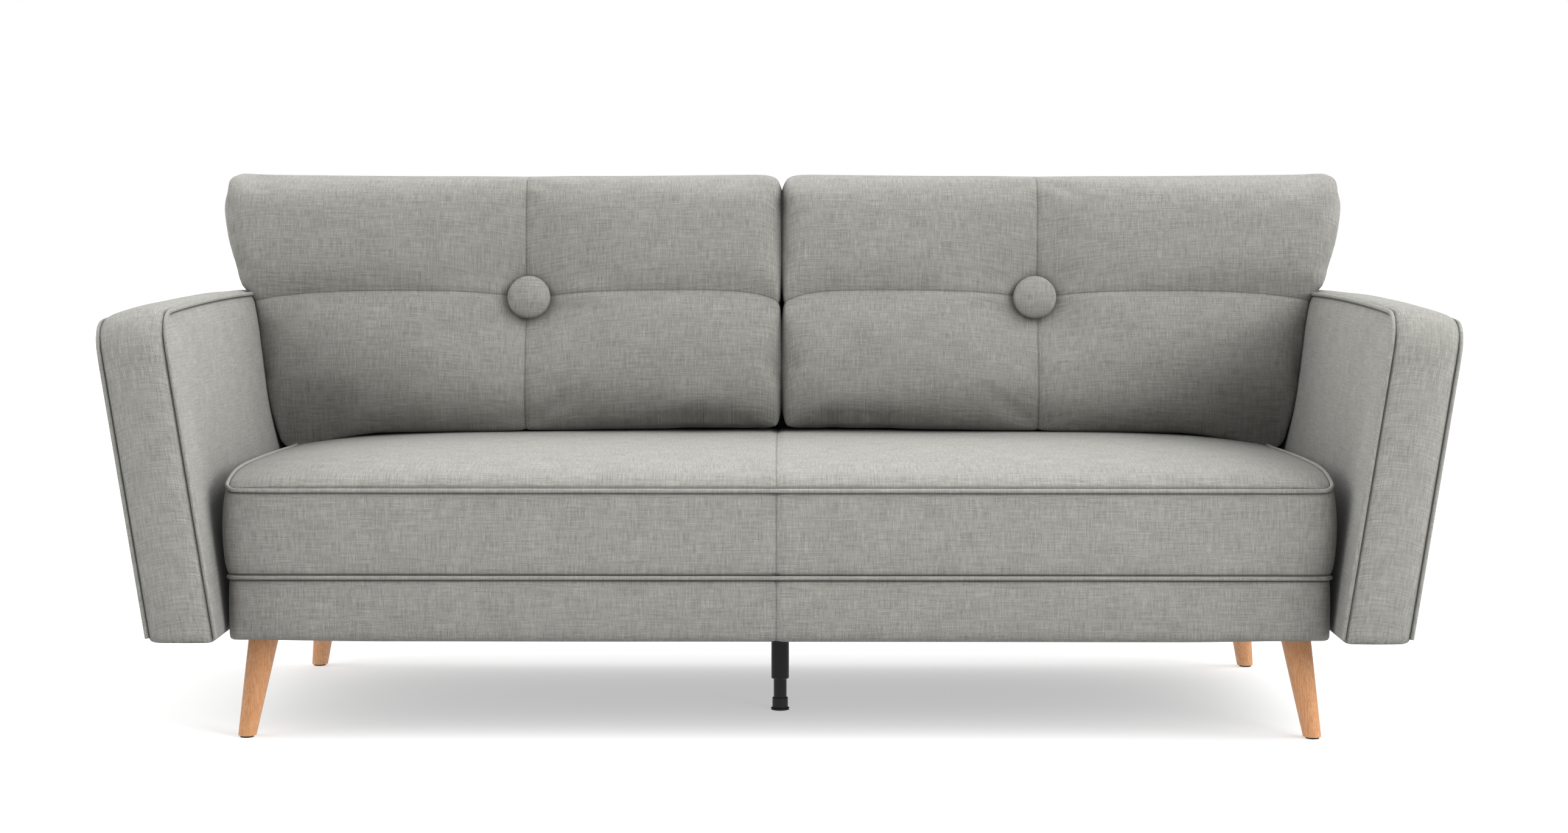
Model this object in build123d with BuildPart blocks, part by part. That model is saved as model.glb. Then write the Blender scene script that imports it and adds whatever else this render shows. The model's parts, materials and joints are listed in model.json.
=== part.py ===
from build123d import *
import os
from math import cos, radians, sin, tan

"""Three-seat sofa: flared arms, two tufted back cushions, splayed wooden legs, telescopic middle leg.

Millimetres. The origin is on the floor under the middle of the sofa, +X is to the right as seen from
the front, +Y runs to the back and +Z is up. Left is -X.
"""

os.makedirs("parts", exist_ok=True)

# ---- Driving dimensions -----------------------------------------------------------------------
SIDES = {"left": -1, "right": 1}
ENDS = {"front": -1, "rear": 1}

SKIN = 1.5                      # upholstery fabric with its backing
PIPING_R = 3.5
PLY = 4.0                       # boards on both faces of an arm frame

# Base: the upholstered box under the seat
BASE_HALF_WIDTH = 883.0
BASE_FRONT = -375.0
BASE_REAR = 352.0
BASE_BOTTOM = 160.0
BASE_TOP = 266.0                # line of the lower piping
BASE_CORNER_R = 18.0
BASE_EDGE_R = 15.0
BASE_PAD = 13.5                 # foam wrap between skin and rails
RAIL_T = 25.0
RAIL_BOTTOM = 164.0
RAIL_TOP = 261.5
COVER_WRAP = 95.0               # how far the base cover turns under
DUST_CLOTH_T = 0.8
DUST_CLOTH_LAP = 15.0
CORNER_BLOCK = 100.0
CORNER_BLOCK_H = 50.0
CENTRE_RAIL_HALF = 30.0
CENTRE_RAIL_H = 60.0

# Seat: springs, insulator pad, foam and cover
SEAT_REAR = 300.0
SEAT_EDGE = 406.0               # line of the upper piping
SEAT_CROWN = 452.0
SEAT_SHOULDER = 446.0           # crown height where the flat middle ends
SHOULDER_RUN = 183.0            # from the edge to the shoulder
SHOULDER_MID = (87.0, 436.0)    # distance in from the edge, and height there
SPRING_R = 1.8
SPRING_HALF_WIDTH = 24.0
SPRING_PITCH = 48.0
SPRING_BEND_R = 11.0
SPRING_BARS = 15
SPRING_FRONT = -347.5
SPRING_X = [-700, -500, -300, -100, 100, 300, 500, 700]
SPRING_Z = RAIL_TOP + SPRING_R + 0.3
CLIP = (22.0, 16.0, 6.0)
INSULATOR_BOTTOM = 268.0
INSULATOR_T = 4.0

# Wooden legs
FOOT_X = 863.0
LEG_TOP_X = 838.0
FOOT_Y = {"front": -335.0, "rear": 305.0}
LEG_TOP_Y = {"front": -310.0, "rear": 280.0}
FOOT_R = 14.25
LEG_TOP_R = 24.0
GLIDE_R = 11.0
GLIDE_H = 3.0
BOLT_R = 4.0
BORE_R = 4.2
BOLT_IN_LEG = 40.0
BOLT_IN_BLOCK = 45.0
PLATE = 60.0
PLATE_T = 2.5
PLATE_SHIFT = 5.0               # the plate's middle lies inboard of the leg's top
SCREW_R = 2.0
SCREW_HEAD_R = 4.0
SCREW_LENGTH = 20.0
SCREW_GRID = 44.0

# Telescopic middle leg
MID_LEG_Y = -105.0
MID_PLATE = 70.0
MID_PLATE_T = 3.0
MID_SCREW_GRID = 54.0
TUBE_R = 15.0
TUBE_WALL = 1.5
TUBE_BOTTOM = 54.0
BUSH_LENGTH = 22.0
INNER_TUBE_R = 11.0
RUNNING_GAP = 0.05
INNER_TUBE_TOP = 110.0
COLLAR_R = 13.25
COLLAR_TOP = 20.5
FLANGE_R = 15.5
FLANGE_T = 3.6
SPIGOT_TOP = 45.0

# Arms: slabs that lean outwards
ARM_LEAN = radians(8.32)
ARM_FOOT_X = 886.8              # inner face at the arm's underside
ARM_BOTTOM = 171.0
ARM_FRONT = -440.0
ARM_REAR = 425.0
ARM_T = 106.0
ARM_SHOULDER = 517.0            # height up the slab at its front and rear
ARM_CREST = (-20.0, 530.5)      # y, and height up the slab
ARM_CORNER_R = 40.0
ARM_FOAM = 22.5
ARM_POST = 50.0
ARM_FRAME_TOP = 490.0
ARM_TOP_RAIL_H = 35.0
ARM_BOTTOM_RAIL_TOP = 100.0
ARM_BOLT_Y = [-200.0, -10.0, 180.0]
ARM_BOLT_Z = 215.0
ARM_BOLT_END_X = 960.0
ARM_BOLT_HEAD = (8.0, 5.0)      # radius, height
SPACER_R = 20.0

# Back frame and its upholstery
BACK_LEAN = radians(10.0)
BACK_REAR_Y = 348.0             # outside face at the height of the lower piping
BACK_T = 42.0
BACK_FOAM = 10.5
BACK_EDGE = 15.0                # skin and foam beyond the frame at the sides and the top
BACK_FOOT_HALF = 895.0
BACK_FLARE = tan(ARM_LEAN) * cos(BACK_LEAN)
BACK_HEIGHT = 615.0             # along the lean
BACK_CORNER_R = 40.0
POST_W = 45.0
POST_X = 400.0
OUTER_POST_INSET = 27.0         # keeps the outer posts inside the base's rounded corners
POST_FOOT = -20.0               # along the lean; cut level on the rails
BACK_TOP_RAIL_H = 35.0
WEB_W = 50.0
WEB_T = 1.5
WEB_HEIGHTS = [60.0, 170.0, 280.0, 390.0, 500.0]
BRACKET_W = 40.0
BRACKET_T = 4.0
BRACKET_RISE = 50.0
BRACKET_DROP = 40.0

# Back cushions
CUSHION_Y = 185.0               # front face where it meets the seat
CUSHION_Z = 450.0
CUSHION_T = 150.0
CUSHION_INNER_X = 2.0
CUSHION_TOP = 911.0
CUSHION_BOTTOM = 415.0
CUSHION_EDGE_R = 50.0
CUSHION_CORNER_R = 16.0
CUSHION_REACH = 500.0           # beyond a cushion's rearmost point
BUTTON_AT = (460.0, 692.0)      # x, z
BUTTON_R = 39.5
TUFT_R = 42.0
TUFT_DEPTH = 26.0
BUTTON_EDGE_H = 8.0
BUTTON_DOME_H = 17.0

CUT = 60.0                      # how far cutting solids run past what they cut


def save(piece, name):
    """Label a finished piece and write its STEP file."""
    piece.part.label = name
    export_step(piece.part, f"parts/{name}.step")


# ---- Placing planes and points ----------------------------------------------------------------
def arm_plane(side, depth=0.0):
    """An arm's inner face moved outwards by depth: local x runs to the back, local y up the slab."""
    face = Plane(
        origin=(side * ARM_FOOT_X, 0, ARM_BOTTOM),
        x_dir=(0, 1, 0),
        z_dir=(cos(ARM_LEAN), 0, -side * sin(ARM_LEAN)),
    )
    return face.offset(side * depth)


def back_plane(depth=0.0):
    """The back's outside face moved forwards by depth: local y runs up the lean."""
    face = Plane(
        origin=(0, BACK_REAR_Y, BASE_TOP),
        x_dir=(1, 0, 0),
        z_dir=(0, -cos(BACK_LEAN), sin(BACK_LEAN)),
    )
    return face.offset(depth)


def back_half_width(height):
    """Half width of the back at a height along its lean."""
    return BACK_FOOT_HALF + BACK_FLARE * height


def leg_points(side, end):
    """Centres of a leg's foot on the floor and of its top at the base."""
    foot = Vector(side * FOOT_X, FOOT_Y[end], 0)
    top = Vector(side * LEG_TOP_X, LEG_TOP_Y[end], BASE_BOTTOM)
    return foot, top


def leg_plane(side, end, along=0.0):
    """Plane across a leg's axis, at a distance up from the floor."""
    foot, top = leg_points(side, end)
    return Plane(origin=foot, z_dir=top - foot).offset(along)


def leg_length():
    """Length of a leg's axis from the floor to the base."""
    foot, top = leg_points(1, "front")
    return (top - foot).length


def plate_centre(side, end):
    """Middle of a leg's plate, in plan."""
    x = side * (LEG_TOP_X - PLATE_SHIFT)
    y = LEG_TOP_Y[end] - ENDS[end] * PLATE_SHIFT
    return x, y


def all_corners():
    """Every (side, end) pair of the sofa's four corners."""
    return [(side, end) for side in SIDES.values() for end in ENDS]


# ---- Shared cutting solids --------------------------------------------------------------------
def leg_bores():
    """Clearance for the four hanger bolts, along the legs' axes."""
    with BuildPart() as bores:
        for side, end in all_corners():
            with BuildSketch(leg_plane(side, end, leg_length() - BOLT_IN_LEG)):
                Circle(BORE_R)
            extrude(amount=BOLT_IN_LEG + BOLT_IN_BLOCK + CUT)
    return bores.part


def arm_bolt_cylinders(side, radius, start, end):
    """One cylinder on each arm bolt's axis, from start to end across the sofa."""
    with BuildPart() as rods:
        with BuildSketch(Plane.YZ.offset(side * start)):
            with Locations(*[(y, ARM_BOLT_Z) for y in ARM_BOLT_Y]):
                Circle(radius)
        extrude(amount=side * (end - start))
    return rods.part


def arm_bolt_bores(side):
    """Clearance for one arm's bolts, from the inside of the side rail to the bolt's tip."""
    start = BASE_HALF_WIDTH - SKIN - BASE_PAD - RAIL_T
    return arm_bolt_cylinders(side, BORE_R, start, ARM_BOLT_END_X + 1)


def screw_places():
    """Plan positions and undersides of the screws of the four leg plates and of the middle plate."""
    places = []
    for side, end in all_corners():
        x, y = plate_centre(side, end)
        places.append((x, y, RAIL_BOTTOM - PLATE_T, SCREW_GRID))
    places.append((0, MID_LEG_Y, RAIL_BOTTOM - MID_PLATE_T, MID_SCREW_GRID))
    return places


def countersunk_screws():
    """All the plate screws: flat conical heads, plain shanks."""
    with BuildPart() as screws:
        for x, y, z, grid in screw_places():
            with BuildSketch(Plane.XY.offset(z)):
                with Locations((x, y)):
                    with GridLocations(grid, grid, 2, 2):
                        Circle(SCREW_R)
            extrude(amount=SCREW_LENGTH)
            with Locations((x, y, z)):
                with GridLocations(grid, grid, 2, 2):
                    Cone(
                        SCREW_HEAD_R,
                        SCREW_R,
                        PLATE_T - 0.3,
                        align=(Align.CENTER, Align.CENTER, Align.MIN),
                    )
    return screws


# ---- Base -------------------------------------------------------------------------------------
def base_block(inset, top):
    """Base box drawn in by inset, up to a height, with rounded corners and rounded lower edges."""
    with BuildPart() as block:
        with BuildSketch(Plane.XY.offset(BASE_BOTTOM + inset)):
            with Locations((0, (BASE_FRONT + BASE_REAR) / 2)):
                RectangleRounded(
                    2 * (BASE_HALF_WIDTH - inset),
                    BASE_REAR - BASE_FRONT - 2 * inset,
                    BASE_CORNER_R - inset,
                )
        extrude(amount=top - BASE_BOTTOM - inset)
        fillet(block.edges().group_by(Axis.Z)[0], BASE_EDGE_R - inset)
    return block.part


def timber(x_low, x_high, y_low, y_high, z_low, z_high):
    """A straight piece of timber between two corners."""
    with BuildPart() as piece:
        with BuildSketch(Plane.XY.offset(z_low)):
            with Locations(((x_low + x_high) / 2, (y_low + y_high) / 2)):
                Rectangle(x_high - x_low, y_high - y_low)
        extrude(amount=z_high - z_low)
    return piece.part


RAIL_INSET = SKIN + BASE_PAD
RAIL_X = BASE_HALF_WIDTH - RAIL_INSET
RAIL_FRONT = BASE_FRONT + RAIL_INSET
RAIL_REAR = BASE_REAR - RAIL_INSET


def make_rails():
    """Front and rear rails between two full-length side rails, with a rail down the middle."""
    span = RAIL_X - RAIL_T
    with BuildPart() as front:
        add(timber(-span, span, RAIL_FRONT, RAIL_FRONT + RAIL_T, RAIL_BOTTOM, RAIL_TOP))
    save(front, "front_rail")
    with BuildPart() as rear:
        add(timber(-span, span, RAIL_REAR - RAIL_T, RAIL_REAR, RAIL_BOTTOM, RAIL_TOP))
    save(rear, "rear_rail")
    with BuildPart() as centre:
        add(
            timber(
                -CENTRE_RAIL_HALF,
                CENTRE_RAIL_HALF,
                RAIL_FRONT + RAIL_T,
                RAIL_REAR - RAIL_T,
                RAIL_BOTTOM,
                RAIL_BOTTOM + CENTRE_RAIL_H,
            )
        )
        add(countersunk_screws().part, mode=Mode.SUBTRACT)
    save(centre, "centre_rail")
    for name, side in SIDES.items():
        low, high = sorted([side * span, side * RAIL_X])
        with BuildPart() as rail:
            add(timber(low, high, RAIL_FRONT, RAIL_REAR, RAIL_BOTTOM, RAIL_TOP))
            add(arm_bolt_bores(side), mode=Mode.SUBTRACT)
            add(countersunk_screws().part, mode=Mode.SUBTRACT)
        save(rail, f"side_rail_{name}")


def make_corner_blocks():
    """Four blocks inside the rails' corners, bored for the hanger bolts."""
    x = RAIL_X - RAIL_T - CORNER_BLOCK / 2
    with BuildPart() as blocks:
        with BuildSketch(Plane.XY.offset(RAIL_BOTTOM)):
            with Locations(
                (-x, RAIL_FRONT + RAIL_T + CORNER_BLOCK / 2),
                (x, RAIL_FRONT + RAIL_T + CORNER_BLOCK / 2),
                (-x, RAIL_REAR - RAIL_T - CORNER_BLOCK / 2),
                (x, RAIL_REAR - RAIL_T - CORNER_BLOCK / 2),
            ):
                Rectangle(CORNER_BLOCK, CORNER_BLOCK)
        extrude(amount=CORNER_BLOCK_H)
        add(leg_bores(), mode=Mode.SUBTRACT)
        add(countersunk_screws().part, mode=Mode.SUBTRACT)
    save(blocks, "corner_blocks")


def make_base_upholstery():
    """Foam wrap round the rails, and the cover over it that turns under the base."""
    with BuildPart() as padding:
        add(base_block(SKIN, RAIL_TOP))
        add(
            timber(-RAIL_X, RAIL_X, RAIL_FRONT, RAIL_REAR, BASE_BOTTOM, BASE_TOP),
            mode=Mode.SUBTRACT,
        )
        for side in SIDES.values():
            add(arm_bolt_bores(side), mode=Mode.SUBTRACT)
    save(padding, "base_padding")

    open_x = BASE_HALF_WIDTH - COVER_WRAP
    with BuildPart() as cover:
        add(base_block(0, BASE_TOP))
        add(base_block(SKIN, BASE_TOP), mode=Mode.SUBTRACT)
        add(
            timber(
                -open_x,
                open_x,
                BASE_FRONT + COVER_WRAP,
                BASE_REAR - COVER_WRAP,
                BASE_BOTTOM - 1,
                BASE_TOP,
            ),
            mode=Mode.SUBTRACT,
        )
        add(leg_bores(), mode=Mode.SUBTRACT)
        for side in SIDES.values():
            add(arm_bolt_bores(side), mode=Mode.SUBTRACT)
        add(edge_piping(BASE_TOP), mode=Mode.SUBTRACT)
    save(cover, "base_cover")


def make_dust_cover():
    """Thin cloth stapled over the opening under the base, with a hole for the middle leg."""
    reach = COVER_WRAP - DUST_CLOTH_LAP
    with BuildPart() as cloth:
        with BuildSketch(Plane.XY.offset(BASE_BOTTOM - DUST_CLOTH_T)):
            with Locations((0, (BASE_FRONT + BASE_REAR) / 2)):
                Rectangle(2 * (BASE_HALF_WIDTH - reach), BASE_REAR - BASE_FRONT - 2 * reach)
            with Locations((0, MID_LEG_Y)):
                Circle(TUBE_R + 1, mode=Mode.SUBTRACT)
        extrude(amount=DUST_CLOTH_T)
    save(cloth, "dust_cover")


# ---- Seat -------------------------------------------------------------------------------------
def seat_block(inset, bottom):
    """Crowned seat drawn in by inset: a plan outline cut by a crown across and a crown front to back."""
    half = BASE_HALF_WIDTH - inset
    front = BASE_FRONT + inset
    rear = SEAT_REAR - inset
    edge = SEAT_EDGE - inset
    crown = SEAT_CROWN - inset
    shoulder = SEAT_SHOULDER - inset
    mid_run, mid_height = SHOULDER_MID
    with BuildPart() as block:
        with BuildSketch(Plane.XY.offset(bottom)) as plan:
            with Locations((0, (front + rear) / 2)):
                Rectangle(2 * half, rear - front)
            fillet(plan.vertices().group_by(Axis.Y)[0], BASE_CORNER_R - inset)
        extrude(amount=crown + 1 - bottom)
        with BuildSketch(Plane.XZ.offset(-rear)):
            with BuildLine():
                Polyline((-half, edge), (-half, bottom), (half, bottom), (half, edge))
                for side in SIDES.values():
                    ThreePointArc(
                        (side * half, edge),
                        (side * (half - mid_run), mid_height - inset),
                        (side * (half - SHOULDER_RUN), shoulder),
                    )
                ThreePointArc((SHOULDER_RUN - half, shoulder), (0, crown), (half - SHOULDER_RUN, shoulder))
            make_face()
        extrude(amount=rear - front, mode=Mode.INTERSECT)
        with BuildSketch(Plane.YZ.offset(-half)):
            with BuildLine():
                Polyline((front, edge), (front, bottom), (rear, bottom), (rear, crown))
                ThreePointArc((front, edge), (front + mid_run, mid_height - inset), (front + SHOULDER_RUN, shoulder))
                Polyline((front + SHOULDER_RUN, shoulder), (0, crown), (rear, crown))
            make_face()
        extrude(amount=2 * half, mode=Mode.INTERSECT)
    return block.part


def edge_piping(height):
    """Piping round the front and the sides of the seat box at a height."""
    x = BASE_HALF_WIDTH + 0.5
    y = BASE_FRONT - 0.5
    with BuildPart() as piping:
        with BuildLine() as path:
            FilletPolyline(
                (-x, SEAT_REAR, height),
                (-x, y, height),
                (x, y, height),
                (x, SEAT_REAR, height),
                radius=BASE_CORNER_R,
            )
        with BuildSketch(Plane(origin=path.line @ 0, z_dir=path.line % 0)):
            Circle(PIPING_R)
        sweep(path=path.line)
    return piping.part


def make_springs():
    """Sinuous wire springs from the front rail to the rear rail, held by a clip at each end."""
    points = []
    for bar in range(SPRING_BARS):
        y = SPRING_FRONT + bar * SPRING_PITCH
        reach = SPRING_HALF_WIDTH if bar % 2 == 0 else -SPRING_HALF_WIDTH
        points += [(-reach, y, SPRING_Z), (reach, y, SPRING_Z)]
    with BuildPart() as spring:
        with BuildLine() as path:
            FilletPolyline(*points, radius=SPRING_BEND_R)
        with BuildSketch(Plane(origin=path.line @ 0, z_dir=path.line % 0)):
            Circle(SPRING_R)
        sweep(path=path.line)
    with BuildPart() as springs:
        with Locations(*[(x, 0, 0) for x in SPRING_X]):
            add(spring.part)
    save(springs, "seat_springs")

    length, depth, height = CLIP
    spring_rear = SPRING_FRONT + (SPRING_BARS - 1) * SPRING_PITCH
    with BuildPart() as clips:
        with Locations(*[(x, y, RAIL_TOP) for x in SPRING_X for y in (SPRING_FRONT, spring_rear)]):
            Box(length, depth, height, align=(Align.CENTER, Align.CENTER, Align.MIN))
            with Locations((0, 0, SPRING_Z - RAIL_TOP)):
                Cylinder(SPRING_R + 0.1, length + 2, rotation=(0, 90, 0), mode=Mode.SUBTRACT)
    save(clips, "spring_clips")


def make_seat():
    """Insulator pad, foam and cover of the bench seat, with the two pipings."""
    with BuildPart() as insulator:
        add(
            timber(
                -RAIL_X,
                RAIL_X,
                RAIL_FRONT,
                SEAT_REAR - 2 * SKIN,
                INSULATOR_BOTTOM,
                INSULATOR_BOTTOM + INSULATOR_T,
            )
        )
    save(insulator, "seat_insulator")
    with BuildPart() as foam:
        add(seat_block(SKIN, INSULATOR_BOTTOM + INSULATOR_T))
        add(edge_piping(SEAT_EDGE), mode=Mode.SUBTRACT)
    save(foam, "seat_foam")
    with BuildPart() as cover:
        add(seat_block(0, BASE_TOP))
        add(seat_block(SKIN, BASE_TOP - CUT), mode=Mode.SUBTRACT)
        add(edge_piping(SEAT_EDGE), mode=Mode.SUBTRACT)
        add(edge_piping(BASE_TOP), mode=Mode.SUBTRACT)
    save(cover, "seat_cover")
    for name, height in (("seat_piping_upper", SEAT_EDGE), ("seat_piping_lower", BASE_TOP)):
        with BuildPart() as piping:
            add(edge_piping(height))
        save(piping, name)


# ---- Legs -------------------------------------------------------------------------------------
def make_wooden_legs():
    """Tapered round legs on leaning axes, cut level at the base and at the glide."""
    growth = (LEG_TOP_R - FOOT_R) / leg_length()
    spare = 20.0
    bores = leg_bores()
    for side_name, side in SIDES.items():
        for end in ENDS:
            with BuildPart() as leg:
                with BuildSketch(leg_plane(side, end, -spare)):
                    Circle(FOOT_R - growth * spare)
                with BuildSketch(leg_plane(side, end, leg_length() + spare)):
                    Circle(LEG_TOP_R + growth * spare)
                loft()
                split(bisect_by=Plane.XY.offset(BASE_BOTTOM), keep=Keep.BOTTOM)
                split(bisect_by=Plane.XY.offset(GLIDE_H), keep=Keep.TOP)
                add(bores, mode=Mode.SUBTRACT)
            save(leg, f"leg_{end}_{side_name}")


def make_leg_hardware():
    """Glides under the legs, hanger bolts in their tops, plates over the corner blocks, and screws."""
    with BuildPart() as glides:
        with BuildSketch(Plane.XY):
            with Locations(*[leg_points(side, end)[0] for side, end in all_corners()]):
                Circle(GLIDE_R)
        extrude(amount=GLIDE_H)
    save(glides, "leg_glides")

    with BuildPart() as bolts:
        for side, end in all_corners():
            with BuildSketch(leg_plane(side, end, leg_length() - BOLT_IN_LEG)):
                Circle(BOLT_R)
            extrude(amount=BOLT_IN_LEG + BOLT_IN_BLOCK)
    save(bolts, "leg_hanger_bolts")

    screws = countersunk_screws()
    with BuildPart() as plates:
        with BuildSketch(Plane.XY.offset(RAIL_BOTTOM - PLATE_T)):
            with Locations(*[plate_centre(side, end) for side, end in all_corners()]):
                RectangleRounded(PLATE, PLATE, 6)
        extrude(amount=PLATE_T)
        add(leg_bores(), mode=Mode.SUBTRACT)
        add(screws.part, mode=Mode.SUBTRACT)
    save(plates, "leg_plates")
    save(screws, "plate_screws")


def mid_leg_turning(outer, inner, bottom, top):
    """A ring or a rod on the middle leg's axis; an inner radius of 0 makes a rod."""
    with BuildPart() as piece:
        with BuildSketch(Plane.XY.offset(bottom)):
            with Locations((0, MID_LEG_Y)):
                Circle(outer)
                if inner > 0:
                    Circle(inner, mode=Mode.SUBTRACT)
        extrude(amount=top - bottom)
    return piece.part


def make_middle_leg():
    """Plate, outer tube, bush, sliding inner tube and foot of the telescopic leg."""
    plate_bottom = RAIL_BOTTOM - MID_PLATE_T
    with BuildPart() as plate:
        with BuildSketch(Plane.XY.offset(plate_bottom)):
            with Locations((0, MID_LEG_Y)):
                RectangleRounded(MID_PLATE, MID_PLATE, 8)
        extrude(amount=MID_PLATE_T)
        add(countersunk_screws().part, mode=Mode.SUBTRACT)
    save(plate, "centre_leg_plate")

    with BuildPart() as tube:
        add(mid_leg_turning(TUBE_R, TUBE_R - TUBE_WALL, TUBE_BOTTOM, plate_bottom))
        chamfer(tube.edges().filter_by(GeomType.CIRCLE).group_by(Axis.Z)[0].sort_by(SortBy.RADIUS)[-1], 0.7)
    save(tube, "centre_leg_tube")

    with BuildPart() as bush:
        add(
            mid_leg_turning(
                TUBE_R - TUBE_WALL,
                INNER_TUBE_R + RUNNING_GAP,
                TUBE_BOTTOM,
                TUBE_BOTTOM + BUSH_LENGTH,
            )
        )
    save(bush, "centre_leg_bush")

    with BuildPart() as inner:
        add(mid_leg_turning(INNER_TUBE_R, INNER_TUBE_R - TUBE_WALL, COLLAR_TOP, INNER_TUBE_TOP))
    save(inner, "centre_leg_inner_tube")

    with BuildPart() as foot:
        add(mid_leg_turning(FLANGE_R, 0, 0, FLANGE_T))
        fillet(foot.edges().filter_by(GeomType.CIRCLE).group_by(Axis.Z)[-1], 1.0)
        add(mid_leg_turning(COLLAR_R, 0, FLANGE_T, COLLAR_TOP))
        add(mid_leg_turning(INNER_TUBE_R - TUBE_WALL, 0, COLLAR_TOP, SPIGOT_TOP))
    save(foot, "centre_leg_foot")


# ---- Arms -------------------------------------------------------------------------------------
def arm_outline(plane, inset):
    """Side outline of an arm on a plane, drawn in by inset, running below the arm's underside."""
    front = ARM_FRONT + inset
    rear = ARM_REAR - inset
    shoulder = ARM_SHOULDER - inset
    crest_y, crest_height = ARM_CREST
    with BuildSketch(plane) as outline:
        with BuildLine():
            Polyline((front, shoulder), (front, -CUT), (rear, -CUT), (rear, shoulder))
            ThreePointArc((front, shoulder), (crest_y, crest_height - inset), (rear, shoulder))
        make_face()
        fillet(outline.vertices().group_by(Axis.Y)[-1], ARM_CORNER_R - inset)
    return outline.sketch


def arm_slab(side, inset, floor):
    """An arm's slab drawn in by inset on every face, cut level at a height."""
    with BuildPart() as slab:
        extrude(arm_outline(arm_plane(side, inset), inset), amount=side * (ARM_T - 2 * inset))
        split(bisect_by=Plane.XY.offset(floor), keep=Keep.TOP)
    return slab.part


def arm_timber(side, y_low, y_high, up_low, up_high, depth_low, depth_high):
    """A straight piece in an arm's own directions, cut level above the cover's underside."""
    with BuildPart() as piece:
        with BuildSketch(arm_plane(side, depth_low)):
            with Locations(((y_low + y_high) / 2, (up_low + up_high) / 2)):
                Rectangle(y_high - y_low, up_high - up_low)
        extrude(amount=side * (depth_high - depth_low))
        split(bisect_by=Plane.XY.offset(ARM_BOTTOM + SKIN), keep=Keep.TOP)
    return piece.part


def arm_piping(side, depth):
    """Piping round one face of an arm, from the underside at the front to the underside at the rear."""
    plane = arm_plane(side, depth)
    edges = arm_outline(plane, 0).edges()
    lowest = edges.sort_by(Axis.Z)[0]
    path = Wire([edge for edge in edges if edge != lowest])
    with BuildPart() as piping:
        with BuildSketch(Plane(origin=path @ 0, z_dir=path % 0)):
            Circle(PIPING_R)
        sweep(path=path)
        split(bisect_by=Plane.XY.offset(ARM_BOTTOM), keep=Keep.TOP)
    return piping.part


FRAME_FRONT = ARM_FRONT + SKIN + ARM_FOAM
FRAME_REAR = ARM_REAR - SKIN - ARM_FOAM
BOARD_IN = SKIN + ARM_FOAM
BOARD_OUT = ARM_T - SKIN - ARM_FOAM
TIMBER_IN = BOARD_IN + PLY
TIMBER_OUT = BOARD_OUT - PLY


def make_arm_frame(name, side):
    """Posts, rails and boards inside an arm."""
    rail_front = FRAME_FRONT + ARM_POST
    rail_rear = FRAME_REAR - ARM_POST
    top_rail_bottom = ARM_FRAME_TOP - ARM_TOP_RAIL_H
    bores = arm_bolt_bores(side)
    with BuildPart() as posts:
        add(arm_timber(side, FRAME_FRONT, rail_front, -CUT, top_rail_bottom, TIMBER_IN, TIMBER_OUT))
        add(arm_timber(side, rail_rear, FRAME_REAR, -CUT, top_rail_bottom, TIMBER_IN, TIMBER_OUT))
    save(posts, f"arm_posts_{name}")
    with BuildPart() as top_rail:
        add(
            arm_timber(
                side,
                FRAME_FRONT,
                FRAME_REAR,
                top_rail_bottom,
                ARM_FRAME_TOP,
                TIMBER_IN,
                TIMBER_OUT,
            )
        )
    save(top_rail, f"arm_top_rail_{name}")
    with BuildPart() as bottom_rail:
        add(arm_timber(side, rail_front, rail_rear, -CUT, ARM_BOTTOM_RAIL_TOP, TIMBER_IN, TIMBER_OUT))
        add(bores, mode=Mode.SUBTRACT)
    save(bottom_rail, f"arm_bottom_rail_{name}")
    with BuildPart() as boards:
        add(arm_timber(side, FRAME_FRONT, FRAME_REAR, -CUT, ARM_FRAME_TOP, BOARD_IN, TIMBER_IN))
        add(arm_timber(side, FRAME_FRONT, FRAME_REAR, -CUT, ARM_FRAME_TOP, TIMBER_OUT, BOARD_OUT))
        add(bores, mode=Mode.SUBTRACT)
    save(boards, f"arm_boards_{name}")


def make_arm_upholstery(name, side):
    """Foam, cover and the two pipings of an arm."""
    bores = arm_bolt_bores(side)
    pipings = {"inner": arm_piping(side, 0), "outer": arm_piping(side, ARM_T)}
    with BuildPart() as padding:
        add(arm_slab(side, SKIN, ARM_BOTTOM + SKIN))
        add(
            arm_timber(side, FRAME_FRONT, FRAME_REAR, -CUT, ARM_FRAME_TOP, BOARD_IN, BOARD_OUT),
            mode=Mode.SUBTRACT,
        )
        add(bores, mode=Mode.SUBTRACT)
        for piping in pipings.values():
            add(piping, mode=Mode.SUBTRACT)
    save(padding, f"arm_padding_{name}")
    with BuildPart() as cover:
        add(arm_slab(side, 0, ARM_BOTTOM))
        add(arm_slab(side, SKIN, ARM_BOTTOM + SKIN), mode=Mode.SUBTRACT)
        add(bores, mode=Mode.SUBTRACT)
        for piping in pipings.values():
            add(piping, mode=Mode.SUBTRACT)
    save(cover, f"arm_cover_{name}")
    for place, piping in pipings.items():
        with BuildPart() as trim:
            add(piping)
        save(trim, f"arm_piping_{place}_{name}")


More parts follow.
